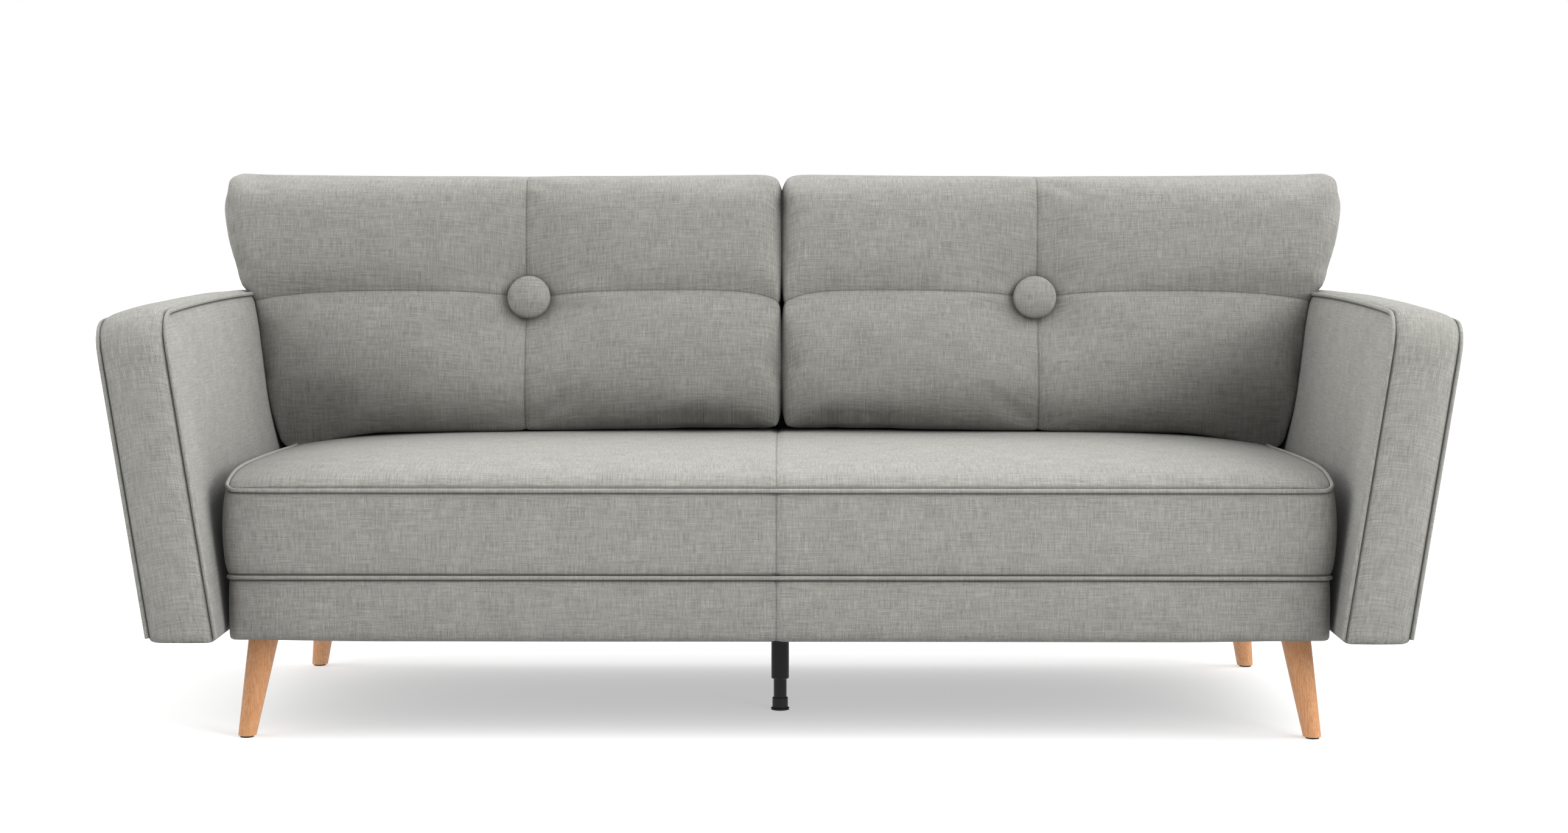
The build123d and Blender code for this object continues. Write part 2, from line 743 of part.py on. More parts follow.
def make_arm_fixings():
    """Bolts from the side rails into the arms, and tapered spacers between base and arm."""
    rail_inside = RAIL_X - RAIL_T
    head_r, head_h = ARM_BOLT_HEAD
    with BuildPart() as bolts:
        for side in SIDES.values():
            add(arm_bolt_cylinders(side, head_r, rail_inside - head_h, rail_inside))
            add(arm_bolt_cylinders(side, BOLT_R, rail_inside, ARM_BOLT_END_X))
    save(bolts, "arm_bolts")
    with BuildPart() as spacers:
        for side in SIDES.values():
            with BuildPart(mode=Mode.PRIVATE) as ring:
                add(arm_bolt_cylinders(side, SPACER_R, BASE_HALF_WIDTH, BASE_HALF_WIDTH + CUT))
                keep = Keep.BOTTOM if side > 0 else Keep.TOP
                split(bisect_by=arm_plane(side), keep=keep)
                add(arm_bolt_bores(side), mode=Mode.SUBTRACT)
            add(ring.part)
    save(spacers, "arm_spacers")


# ---- Back -------------------------------------------------------------------------------------
def back_strip(inset, low, high, depth_low, depth_high):
    """A piece as wide as the back less inset, between two heights and two depths."""
    with BuildPart() as strip:
        with BuildSketch(back_plane(depth_low)):
            wide_low = back_half_width(low) - inset
            wide_high = back_half_width(high) - inset
            Polygon(
                (-wide_low, low), (wide_low, low), (wide_high, high), (-wide_high, high), align=None
            )
        extrude(amount=depth_high - depth_low)
    return strip.part


def back_block(inset, bottom):
    """The padded back drawn in by inset, with rounded top corners and an open lower end."""
    top = BACK_HEIGHT - inset
    with BuildPart() as block:
        with BuildSketch(back_plane(inset)) as outline:
            wide_low = back_half_width(bottom) - inset
            wide_high = back_half_width(top) - inset
            Polygon(
                (-wide_low, bottom), (wide_low, bottom), (wide_high, top), (-wide_high, top), align=None
            )
            fillet(outline.vertices().group_by(Axis.Y)[-1], BACK_CORNER_R - inset)
        extrude(amount=BACK_T - 2 * inset)
    return block.part


def back_brackets():
    """Bent steel brackets from the rear rail's inside face up the front of the two middle posts."""
    rail_face = RAIL_REAR - RAIL_T
    post_front = BACK_T - SKIN - BACK_FOAM - WEB_T
    post_face = BACK_REAR_Y + (RAIL_TOP - BASE_TOP) * tan(BACK_LEAN) - post_front / cos(BACK_LEAN)
    lean = BRACKET_RISE * tan(BACK_LEAN)
    with BuildPart() as brackets:
        for x in (-POST_X, POST_X):
            with BuildSketch(Plane.YZ.offset(x - BRACKET_W / 2)):
                Polygon(
                    (rail_face - BRACKET_T, RAIL_TOP - BRACKET_DROP),
                    (rail_face, RAIL_TOP - BRACKET_DROP),
                    (rail_face, RAIL_TOP),
                    (post_face, RAIL_TOP),
                    (post_face + lean, RAIL_TOP + BRACKET_RISE),
                    (post_face + lean - BRACKET_T, RAIL_TOP + BRACKET_RISE),
                    (post_face - BRACKET_T, RAIL_TOP + BRACKET_T),
                    (rail_face - BRACKET_T, RAIL_TOP + BRACKET_T),
                    align=None,
                )
            extrude(amount=BRACKET_W)
    return brackets.part


def make_back_frame():
    """Four posts on the rear rail, the top rail, the brackets and the webbing."""
    frame_top = BACK_HEIGHT - BACK_EDGE
    rail_bottom = frame_top - BACK_TOP_RAIL_H
    front = BACK_T - SKIN - BACK_FOAM - WEB_T
    middle = (POST_FOOT + rail_bottom) / 2
    with BuildPart() as posts:
        with BuildSketch(back_plane(SKIN)):
            with Locations((-POST_X, middle), (POST_X, middle)):
                Rectangle(POST_W, rail_bottom - POST_FOOT)
            for side in SIDES.values():
                low = back_half_width(POST_FOOT) - OUTER_POST_INSET
                high = back_half_width(rail_bottom) - OUTER_POST_INSET
                Polygon(
                    (side * low, POST_FOOT),
                    (side * high, rail_bottom),
                    (side * (high - POST_W), rail_bottom),
                    (side * (low - POST_W), POST_FOOT),
                    align=None,
                )
        extrude(amount=front - SKIN)
        split(bisect_by=Plane.XY.offset(RAIL_TOP), keep=Keep.TOP)
    save(posts, "back_posts")
    with BuildPart() as top_rail:
        add(back_strip(BACK_EDGE, rail_bottom, frame_top, SKIN, front))
    save(top_rail, "back_top_rail")
    with BuildPart() as webbing:
        for height in WEB_HEIGHTS:
            add(back_strip(2 * BACK_EDGE, height, height + WEB_W, front, front + WEB_T))
    save(webbing, "back_webbing")

    with BuildPart() as brackets:
        add(back_brackets())
    save(brackets, "back_brackets")


def make_back_upholstery():
    """Foam over the front, sides and top of the back frame, and the cover over all of it."""
    foam_back = BACK_T - SKIN - BACK_FOAM
    with BuildPart() as padding:
        add(back_block(SKIN, 0))
        add(
            back_strip(BACK_EDGE, -CUT, BACK_HEIGHT - BACK_EDGE, 0, foam_back),
            mode=Mode.SUBTRACT,
        )
        add(back_brackets(), mode=Mode.SUBTRACT)
    save(padding, "back_padding")
    with BuildPart() as cover:
        add(back_block(0, 0))
        add(back_block(SKIN, -CUT), mode=Mode.SUBTRACT)
    save(cover, "back_cover")


# ---- Back cushions ----------------------------------------------------------------------------
def cushion_face_y(height):
    """Where a cushion's front face lies at a height."""
    return CUSHION_Y + (height - CUSHION_Z) * tan(BACK_LEAN)


def tuft_plane(side):
    """Plane of a cushion's front face at its button, facing forwards."""
    x, z = BUTTON_AT
    return Plane(
        origin=(side * x, cushion_face_y(z), z),
        x_dir=(1, 0, 0),
        z_dir=(0, -cos(BACK_LEAN), sin(BACK_LEAN)),
    )


def cushion_front_outline(inset):
    """Front view of the right cushion: it follows the seat's crown, then flares and spreads over the arm."""
    with BuildSketch(Plane.XZ) as outline:
        with BuildLine():
            Polyline((1010, CUSHION_TOP), (1013, 895))
            ThreePointArc((1013, 895), (1018, 838), (1005, 779))
            ThreePointArc((1005, 779), (988, 738), (957, 697))
            ThreePointArc((957, 697), (936, 560), (893, 430))
            Line((893, 430), (872, 417))
            ThreePointArc((872, 417), (796, 437.5), (700, 447.5))
            ThreePointArc((700, 447.5), (350, 451.8), (CUSHION_INNER_X, 453.2))
            Line((CUSHION_INNER_X, 453.2), (CUSHION_INNER_X, CUSHION_TOP))
            ThreePointArc((CUSHION_INNER_X, CUSHION_TOP), (468, CUSHION_TOP - 4), (1010, CUSHION_TOP))
        make_face()
        fillet(outline.vertices().group_by(Axis.Y)[-1], CUSHION_CORNER_R)
        if inset > 0:
            offset(amount=-inset, mode=Mode.REPLACE)
    return outline.sketch


def cushion_block(side, inset):
    """A back cushion drawn in by inset: its front view cut by its leaning, round-edged side view."""
    run = CUSHION_T / cos(BACK_LEAN)
    draw_in = inset / cos(BACK_LEAN)
    low = CUSHION_BOTTOM - SKIN
    high = CUSHION_TOP + 4 - inset
    half_reach = BASE_HALF_WIDTH + 3 * CUT
    with BuildPart() as block:
        extrude(cushion_front_outline(inset), amount=CUSHION_REACH, both=True)
        if side < 0:
            mirror(about=Plane.YZ, mode=Mode.REPLACE)
        with BuildSketch(Plane.YZ.offset(-half_reach)) as side_view:
            Polygon(
                (cushion_face_y(low) + draw_in, low),
                (cushion_face_y(low) + run - draw_in, low),
                (cushion_face_y(high) + run - draw_in, high),
                (cushion_face_y(high) + draw_in, high),
                align=None,
            )
            fillet(side_view.vertices().group_by(Axis.Y)[-1], CUSHION_EDGE_R - inset)
        extrude(amount=2 * half_reach, mode=Mode.INTERSECT)
        with BuildSketch(tuft_plane(side).offset(-TUFT_DEPTH - inset)):
            Circle(TUFT_R + inset)
        extrude(amount=TUFT_DEPTH + CUT, mode=Mode.SUBTRACT)
    return block.part


def make_cushions():
    """Fill, cover and button of each back cushion."""
    dome = BUTTON_DOME_H - BUTTON_EDGE_H
    dome_r = (BUTTON_R**2 + dome**2) / (2 * dome)
    for name, side in SIDES.items():
        with BuildPart() as fill:
            add(cushion_block(side, SKIN))
        save(fill, f"back_cushion_fill_{name}")
        with BuildPart() as cover:
            add(cushion_block(side, 0))
            add(cushion_block(side, SKIN), mode=Mode.SUBTRACT)
        save(cover, f"back_cushion_cover_{name}")
        plane = tuft_plane(side).offset(-TUFT_DEPTH)
        profile = Plane(origin=plane.origin, x_dir=plane.x_dir, z_dir=-plane.y_dir)
        with BuildPart() as button:
            with BuildSketch(profile):
                with BuildLine():
                    Polyline((0, BUTTON_DOME_H), (0, 0), (BUTTON_R, 0), (BUTTON_R, BUTTON_EDGE_H))
                    RadiusArc((0, BUTTON_DOME_H), (BUTTON_R, BUTTON_EDGE_H), dome_r)
                make_face()
            revolve(axis=Axis(plane.origin, plane.z_dir))
        save(button, f"cushion_button_{name}")


# ---- Make every piece -------------------------------------------------------------------------
make_rails()
make_corner_blocks()
make_base_upholstery()
make_dust_cover()
make_springs()
make_seat()
make_wooden_legs()
make_leg_hardware()
make_middle_leg()
for arm_name, arm_side in SIDES.items():
    make_arm_frame(arm_name, arm_side)
    make_arm_upholstery(arm_name, arm_side)
make_arm_fixings()
make_back_frame()
make_back_upholstery()
make_cushions()
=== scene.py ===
import json
import math

import bmesh
import bpy
import numpy as np
from mathutils import Matrix, Vector, noise


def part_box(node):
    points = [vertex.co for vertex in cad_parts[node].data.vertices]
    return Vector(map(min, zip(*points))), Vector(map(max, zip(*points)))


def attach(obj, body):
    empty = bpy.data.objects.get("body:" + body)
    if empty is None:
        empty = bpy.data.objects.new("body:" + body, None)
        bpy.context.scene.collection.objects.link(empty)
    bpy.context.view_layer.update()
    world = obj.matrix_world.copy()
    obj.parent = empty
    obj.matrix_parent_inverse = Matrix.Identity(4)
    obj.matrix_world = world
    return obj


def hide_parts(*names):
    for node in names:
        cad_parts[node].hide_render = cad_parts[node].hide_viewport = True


bl_info = {
    "name": "Upholstered sofa with wooden legs",
    "version": (1, 0, 0),
    "blender": (4, 5, 0),
    "location": "3D View > Sidebar > Sofa",
    "description": "Upholsters and finishes a three seat sofa around its packed frame",
    "category": "Object",
}

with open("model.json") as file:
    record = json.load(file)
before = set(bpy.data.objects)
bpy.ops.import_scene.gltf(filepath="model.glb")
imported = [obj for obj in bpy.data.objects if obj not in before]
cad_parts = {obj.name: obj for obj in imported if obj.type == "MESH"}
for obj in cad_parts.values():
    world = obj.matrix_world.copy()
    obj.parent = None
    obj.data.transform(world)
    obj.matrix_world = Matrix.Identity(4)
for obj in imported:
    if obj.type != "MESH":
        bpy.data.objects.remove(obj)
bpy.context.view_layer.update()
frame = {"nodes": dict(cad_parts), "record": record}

SIDES = {"left": -1, "right": 1}
ARM_LEAN = math.radians(8.32)
BACK_LEAN = math.radians(10)
ARM_FOOT = (0.8868, 0.171)         # inner face at the underside: x, z
CUSHION_FOOT = (0.185, 0.450)      # front face where it meets the seat: y, z
BACK_FOOT = (0.348, 0.266)         # outside face at the base's welt: y, z
WELT_R = 0.0035
WELT_OUT = 0.0004                  # how far a welt's middle stands out from its seam
WELT_DITCH = 0.0046                # from a welt's middle to the stitched line beside it, where a dark line of painted shade is drawn
DITCH = 0.0012                     # how far cloth is drawn in beside a welt
FAR = 1.0                          # stored where a surface has no seam near
PLAN_CORNER = 0.018                # radius of the bench's upright corners
BASE_WELT_Z = 0.266
SEAT_WELT_Z = 0.406
MIDDLE_SEAM = 0.004                # how far left of the middle the bench's seam runs
TINY = 1e-5


# ---------------------------------------------------------------- making

def clear_selection():
    if bpy.context.object and bpy.context.object.mode != "OBJECT":
        bpy.ops.object.mode_set(mode="OBJECT")
    bpy.ops.object.select_all(action="DESELECT")


def take(obj):
    """Makes obj the one selected and active object."""
    clear_selection()
    bpy.context.view_layer.objects.active = obj
    obj.select_set(True)


def name_piece(obj, name):
    obj.name = name
    obj.data.name = name
    return obj


def start_block(name, low, high):
    """A cube primitive between two corners, with its place in its mesh."""
    clear_selection()
    middle = [(a + b) / 2 for a, b in zip(low, high)]
    bpy.ops.mesh.primitive_cube_add(size=1, location=middle)
    obj = name_piece(bpy.context.object, name)
    obj.scale = [b - a for a, b in zip(low, high)]
    bpy.ops.object.transform_apply(location=True, rotation=True, scale=True)
    return obj


def cut_across(obj, axis, spacing):
    """Divides the edges that run along an axis into even lengths near the spacing."""
    take(obj)
    bpy.ops.object.mode_set(mode="EDIT")
    bpy.ops.mesh.select_mode(type="EDGE")
    while True:
        bpy.ops.mesh.select_all(action="DESELECT")
        cage = bmesh.from_edit_mesh(obj.data)
        runs = []
        for edge in cage.edges:
            way = edge.verts[1].co - edge.verts[0].co
            if abs(way[axis]) > 0.9 * way.length:
                runs.append(edge)
        parts = round(max(edge.calc_length() for edge in runs) / spacing)
        if parts < 2:
            break
        for edge in runs:
            edge.select_set(True)
        bmesh.update_edit_mesh(obj.data)
        bpy.ops.mesh.subdivide(number_cuts=1 if parts > 100 else parts - 1)
    bpy.ops.object.mode_set(mode="OBJECT")


def points_of(obj):
    flat = np.empty(len(obj.data.vertices) * 3)
    obj.data.vertices.foreach_get("co", flat)
    return flat.reshape(-1, 3)


def place_points(obj, points):
    obj.data.vertices.foreach_set("co", np.ascontiguousarray(points, np.float32).ravel())
    obj.data.update()


def normals_of(obj):
    flat = np.empty(len(obj.data.vertices) * 3, np.float32)
    obj.data.vertex_normals.foreach_get("vector", flat)
    return flat.reshape(-1, 3)


def ripple(points, size, seed):
    """Slow unevenness from -1 to 1, as hand-laid padding has."""
    shift = Vector((seed * 7.3, seed * 3.1, seed * 5.7))
    return np.array([noise.noise(Vector(p) / size + shift) for p in points])


def round_corner(points, axes, corner, inward, radius):
    """Turns the square corner of a block into a quarter circle."""
    a, b = axes
    centre = (corner[0] + inward[0] * radius, corner[1] + inward[1] * radius)
    va = (centre[0] - points[:, a]) * inward[0]
    vb = (centre[1] - points[:, b]) * inward[1]
    inside = (va > 0) & (vb > 0)
    reach = np.hypot(va, vb)
    share = np.where(inside, np.maximum(va, vb) / np.maximum(reach, 1e-9), 1)
    points[:, a] = np.where(inside, centre[0] - inward[0] * va * share, points[:, a])
    points[:, b] = np.where(inside, centre[1] - inward[1] * vb * share, points[:, b])
    return points


def smooth_skin(obj, levels=1):
    """Applies a subdivision surface and smooth shading."""
    take(obj)
    if levels:
        skin = obj.modifiers.new("skin", "SUBSURF")
        skin.levels = skin.render_levels = levels
        bpy.ops.object.modifier_apply(modifier=skin.name)
    bpy.ops.object.shade_smooth()


def point_out(obj):
    take(obj)
    bpy.ops.object.mode_set(mode="EDIT")
    bpy.ops.mesh.select_all(action="SELECT")
    bpy.ops.mesh.normals_make_consistent(inside=False)
    bpy.ops.object.mode_set(mode="OBJECT")


def press_seam(obj, distance, depth, width):
    """Draws the cloth in along a sewn seam."""
    points = points_of(obj)
    pull = depth * np.exp(-((distance / width) ** 2))
    place_points(obj, points - normals_of(obj) * pull[:, None])


def mark_seams(obj, across, along):
    """Keeps each point's distances from its sewn seams and from the ditches beside its welts, for
    the cloth's thin dark lines; beside a welt the line is painted shade.
    """
    marks = obj.data.attributes.new("seams", "FLOAT_VECTOR", "POINT")
    values = np.zeros((len(obj.data.vertices), 3), np.float32)
    values[:, 0] = FAR + across
    values[:, 1] = FAR + along
    marks.data.foreach_set("vector", values.ravel())


def nearest(*distances):
    """Of several signed distances, the smallest in size at each point."""
    stack = np.stack(np.broadcast_arrays(*distances))
    pick = np.abs(stack).argmin(0)
    return np.take_along_axis(stack, pick[None], 0)[0]


def lay_cloth(obj, u, v):
    """Lays the cloth's threads: metres along weft and warp at each face corner."""
    chart = obj.data.uv_layers.get("threads") or obj.data.uv_layers.new(name="threads")
    chart.data.foreach_set("uv", np.stack([u, v], 1).astype(np.float32).ravel())


def corners_of(obj):
    """Each face corner's point, and its face's normal."""
    mesh = obj.data
    at = np.empty(len(mesh.loops), np.int32)
    mesh.loops.foreach_get("vertex_index", at)
    sizes = np.empty(len(mesh.polygons), np.int32)
    mesh.polygons.foreach_get("loop_total", sizes)
    normals = np.empty(len(mesh.polygons) * 3)
    mesh.polygons.foreach_get("normal", normals)
    return points_of(obj)[at], np.repeat(normals.reshape(-1, 3), sizes, axis=0)


def lay_cloth_flat(obj):
    """Threads that run level and upright on each side of a block."""
    p, n = corners_of(obj)
    way = np.abs(n).argmax(1)
    u = np.where(way == 0, p[:, 1], p[:, 0])
    v = np.where(way == 2, p[:, 1], p[:, 2])
    lay_cloth(obj, u, v)


def sew_welt(name, points, closed, radius=WELT_R):
    """A cord covered in the same cloth, along a smooth line through its points."""
    clear_selection()
    line = bpy.data.curves.new(name, "CURVE")
    line.dimensions = "3D"
    line.bevel_depth = radius
    line.bevel_resolution = 3
    line.resolution_u = 4
    line.use_fill_caps = True
    run = line.splines.new("NURBS")
    run.points.add(len(points) - 1)
    for spot, place in zip(run.points, points):
        spot.co = (*place, 1)
    run.order_u = 3
    run.use_cyclic_u = closed
    run.use_endpoint_u = not closed
    obj = bpy.data.objects.new(name, line)
    bpy.context.collection.objects.link(obj)
    take(obj)
    bpy.ops.object.convert(target="MESH")
    obj = name_piece(bpy.context.object, name)
    point_out(obj)
    bpy.ops.object.shade_smooth()
    lay_cloth_flat(obj)
    return obj


def leaning(lean, foot, side=0):
    """The turn and place of an arm's slab (side given) or of a leaning back."""
    if side:
        up = Vector((side * math.sin(lean), 0, math.cos(lean)))
        out = Vector((side * math.cos(lean), 0, -math.sin(lean)))
        turn = Matrix((out, Vector((0, 1, 0)), up)).transposed()
        return Matrix.Translation((side * foot[0], 0, foot[1])) @ turn.to_4x4()
    up = Vector((0, math.sin(lean), math.cos(lean)))
    out = Vector((0, math.cos(lean), -math.sin(lean)))
    turn = Matrix((Vector((1, 0, 0)), out, up)).transposed()
    return Matrix.Translation((0, foot[0], foot[1])) @ turn.to_4x4()


def moved(points, matrix):
    m = np.array(matrix)
    return points @ m[:3, :3].T + m[:3, 3]


def puff(obj, held, cap, pressure, frames=20):
    """Blows the cloth up around its held points, no further than each point's cap."""
    before = points_of(obj)
    take(obj)
    group = obj.vertex_groups.new(name="held")
    group.add([int(i) for i in np.nonzero(held)[0]], 1.0, "ADD")
    cloth = obj.modifiers.new("cloth", "CLOTH")
    cloth.settings.use_pressure = True
    cloth.settings.uniform_pressure_force = pressure
    cloth.settings.vertex_group_mass = "held"
    cloth.settings.effector_weights.gravity = 0
    cloth.settings.tension_stiffness = 12
    cloth.settings.compression_stiffness = 12
    cloth.settings.bending_stiffness = 0.6
    cloth.collision_settings.use_collision = False
    cloth.point_cache.frame_start = 1
    cloth.point_cache.frame_end = frames
    for step in range(1, frames + 1):
        bpy.context.scene.frame_set(step)
    bpy.ops.object.modifier_apply(modifier=cloth.name)
    bpy.context.scene.frame_set(1)
    move = points_of(obj) - before
    length = np.linalg.norm(move, axis=1)
    kept = np.where(length > 1e-9, cap * np.tanh(length / cap) / np.maximum(length, 1e-9), 0)
    place_points(obj, before + move * kept[:, None])
    obj.vertex_groups.clear()


# ---------------------------------------------------------------- finishes

def linear(hex_colour):
    """An sRGB hex value as a linear colour."""
    parts = [int(hex_colour[i:i + 2], 16) / 255 for i in (1, 3, 5)]
    return tuple(c / 12.92 if c <= 0.04045 else ((c + 0.055) / 1.055) ** 2.4 for c in parts)


def add_node(tree, kind, settings=None, links=None):
    """Adds a node with its own values and sockets set, and its sockets linked."""
    node = tree.nodes.new(kind)
    for key, value in (settings or {}).items():
        if isinstance(key, str) and hasattr(node, key):
            setattr(node, key, value)
        else:
            node.inputs[key].default_value = value
    for key, source in (links or {}).items():
        tree.links.new(source, node.inputs[key])
    return node


def new_material(name):
    material = bpy.data.materials.new(name)
    material.use_nodes = True
    material.node_tree.nodes.clear()
    return material, material.node_tree


def close_material(tree, shader):
    add_node(tree, "ShaderNodeOutputMaterial", links={"Surface": shader.outputs["BSDF"]})


def heathered_upholstery(settings):
    """Polyester and cotton upholstery cloth, yarn dyed and plain woven from slubby
    threads. It looks matt and dry, warm grey, with lighter and darker threads in both
    directions and short thick places in the yarn."""
    material, tree = new_material("heathered_grey_upholstery")
    chart = add_node(tree, "ShaderNodeUVMap", {"uv_map": "threads"})
    uv = chart.outputs["UV"]

    def streaks(along, across, detail):
        """Noise drawn out along one thread direction; lengths in millimetres."""
        scale = (1000 / along, 1000 / across, 1)
        spread = add_node(tree, "ShaderNodeMapping", {"Scale": scale}, {"Vector": uv})
        found = add_node(
            tree, "ShaderNodeTexNoise", {"Scale": 1.0, "Detail": detail, "Roughness": 0.6},
            {"Vector": spread.outputs["Vector"]})
        return found.outputs["Fac"]

    def added(*patterns):
        """Adds patterns up, each with its own weight."""
        total = None
        for pattern, weight in patterns:
            links = {0: pattern} if total is None else {0: pattern, 2: total}
            total = add_node(
                tree, "ShaderNodeMath", {"operation": "MULTIPLY_ADD", 1: weight, 2: 0.0},
                links).outputs[0]
        return total

    weft = streaks(26, 1.2, 2)
    warp = streaks(1.3, 18, 2)
    long_weft = streaks(70, 2.4, 2)
    long_warp = streaks(2.6, 50, 2)
    cloudy = streaks(60, 45, 2)
    flecks = streaks(1.5, 1.5, 2)

    # threads of 2.2 mm pitch pass over and under each other
    split = add_node(tree, "ShaderNodeSeparateXYZ", links={"Vector": uv})
    waves = []
    for way in ("X", "Y"):
        turns = add_node(
            tree, "ShaderNodeMath",
            {"operation": "MULTIPLY", 1: 2 * math.pi / settings.thread_pitch},
            {0: split.outputs[way]})
        waves.append(add_node(
            tree, "ShaderNodeMath", {"operation": "SINE"}, {0: turns.outputs[0]}))
    weave = add_node(
        tree, "ShaderNodeMath", {"operation": "MULTIPLY"},
        {0: waves[0].outputs[0], 1: waves[1].outputs[0]}).outputs[0]

    threads = added((weft, 0.75), (warp, 0.95))
    tone = added(
        (threads, 1.0), (long_weft, 0.62), (long_warp, 0.66), (cloudy, 0.25), (flecks, 0.80),
        (weave, 0.16))
    tone = add_node(
        tree, "ShaderNodeMapRange",
        {"From Min": 1.56, "From Max": 2.46, "To Min": 0.0, "To Max": 1.0},
        {"Value": tone}).outputs["Result"]

    ramp = add_node(tree, "ShaderNodeValToRGB", links={"Fac": tone})
    ramp.color_ramp.elements[0].color = (*settings.cloth_dark, 1)
    ramp.color_ramp.elements[1].color = (*settings.cloth_light, 1)
    middle = ramp.color_ramp.elements.new(0.5)
    middle.color = (*settings.cloth_middle, 1)

    # a thin dark line is drawn along each sewn seam, and beside each welt as painted shade in its
    # ditch
    marks = add_node(tree, "ShaderNodeAttribute", {"attribute_name": "seams"})
    lines = add_node(tree, "ShaderNodeSeparateXYZ", links={"Vector": marks.outputs["Vector"]})
    gaps = []
    for way in ("X", "Y"):
        off = add_node(
            tree, "ShaderNodeMath", {"operation": "SUBTRACT", 1: FAR}, {0: lines.outputs[way]})
        gaps.append(add_node(
            tree, "ShaderNodeMath", {"operation": "ABSOLUTE"}, {0: off.outputs[0]}))
    near = add_node(
        tree, "ShaderNodeMath", {"operation": "MINIMUM"},
        {0: gaps[0].outputs[0], 1: gaps[1].outputs[0]})
    seam = add_node(
        tree, "ShaderNodeMapRange",
        {"From Min": 0.0006, "From Max": 0.0022, "To Min": 1.0, "To Max": 0.0},
        {"Value": near.outputs[0]}).outputs["Result"]
    darker = add_node(
        tree, "ShaderNodeMath", {"operation": "MULTIPLY", 1: 0.38}, {0: seam})
    colour = add_node(
        tree, "ShaderNodeMix", {"data_type": "RGBA"},
        {"Factor": darker.outputs[0], "A": ramp.outputs["Color"]})
    colour.inputs["B"].default_value = (*linear("#4A4A45"), 1)
    # painted shade: ambient occlusion darkens the cloth's colour near other surfaces, down to
    # half; it is no colour of the cloth
    shut = add_node(tree, "ShaderNodeAmbientOcclusion", {"Distance": 0.34, "samples": 8})
    depth = add_node(
        tree, "ShaderNodeMapRange",
        {"From Min": 0.30, "From Max": 0.96, "To Min": 0.50, "To Max": 1.0},
        {"Value": shut.outputs["AO"]})
    occlusion_shaded_colour = add_node(
        tree, "ShaderNodeVectorMath", {"operation": "SCALE"},
        {0: colour.outputs["Result"], "Scale": depth.outputs["Result"]})

    height = added((weave, 0.35), (threads, 0.7), (flecks, 0.4), (seam, -1.2))
    bump = add_node(
        tree, "ShaderNodeBump", {"Strength": 0.7, "Distance": 0.0009}, {"Height": height})
    shader = add_node(
        tree, "ShaderNodeBsdfPrincipled",
        {"Roughness": 0.92, "IOR": 1.45, "Specular IOR Level": 0.25,
         "Sheen Weight": 0.25, "Sheen Roughness": 0.5},
        {"Base Color": occlusion_shaded_colour.outputs["Vector"], "Normal": bump.outputs["Normal"]})
    close_material(tree, shader)
    return material


def grained_wood(name, light, dark, grain, fleck, roughness, coat):
    """Sawn or turned wood with its grain upright; grain and fleck widths in millimetres."""
    material, tree = new_material(name)
    place = add_node(tree, "ShaderNodeTexCoord").outputs["Object"]
    stretch = add_node(
        tree, "ShaderNodeMapping", {"Scale": (1000 / grain, 1000 / grain, 1000 / (grain * 22))},
        {"Vector": place})
    rings = add_node(
        tree, "ShaderNodeTexNoise", {"Scale": 1.0, "Detail": 4.0, "Roughness": 0.55},
        {"Vector": stretch.outputs["Vector"]})
    fine = add_node(
        tree, "ShaderNodeMapping", {"Scale": (1000 / fleck, 1000 / fleck, 1000 / (fleck * 9))},
        {"Vector": place})
    flecks = add_node(
        tree, "ShaderNodeTexNoise", {"Scale": 1.0, "Detail": 1.0},
        {"Vector": fine.outputs["Vector"]})
    marks = add_node(
        tree, "ShaderNodeMapRange", {"From Min": 0.60, "From Max": 0.70},
        {"Value": flecks.outputs["Fac"]})
    ramp = add_node(tree, "ShaderNodeValToRGB", links={"Fac": rings.outputs["Fac"]})
    ramp.color_ramp.elements[0].position = 0.32
    ramp.color_ramp.elements[0].color = (*dark, 1)
    ramp.color_ramp.elements[1].position = 0.66
    ramp.color_ramp.elements[1].color = (*light, 1)
    tone = add_node(
        tree, "ShaderNodeMix", {"data_type": "RGBA"}, {"A": ramp.outputs["Color"]})
    tone.inputs["B"].default_value = (*[c * 0.55 for c in dark], 1)
    share = add_node(
        tree, "ShaderNodeMath", {"operation": "MULTIPLY", 1: 0.5}, {0: marks.outputs["Result"]})
    tree.links.new(share.outputs[0], tone.inputs["Factor"])
    bump = add_node(
        tree, "ShaderNodeBump", {"Strength": 0.12, "Distance": 0.0004},
        {"Height": rings.outputs["Fac"]})
    shader = add_node(
        tree, "ShaderNodeBsdfPrincipled",
        {"Roughness": roughness, "IOR": 1.5, "Coat Weight": coat, "Coat Roughness": 0.25},
        {"Base Color": tone.outputs["Result"], "Normal": bump.outputs["Normal"]})
    close_material(tree, shader)
    return material


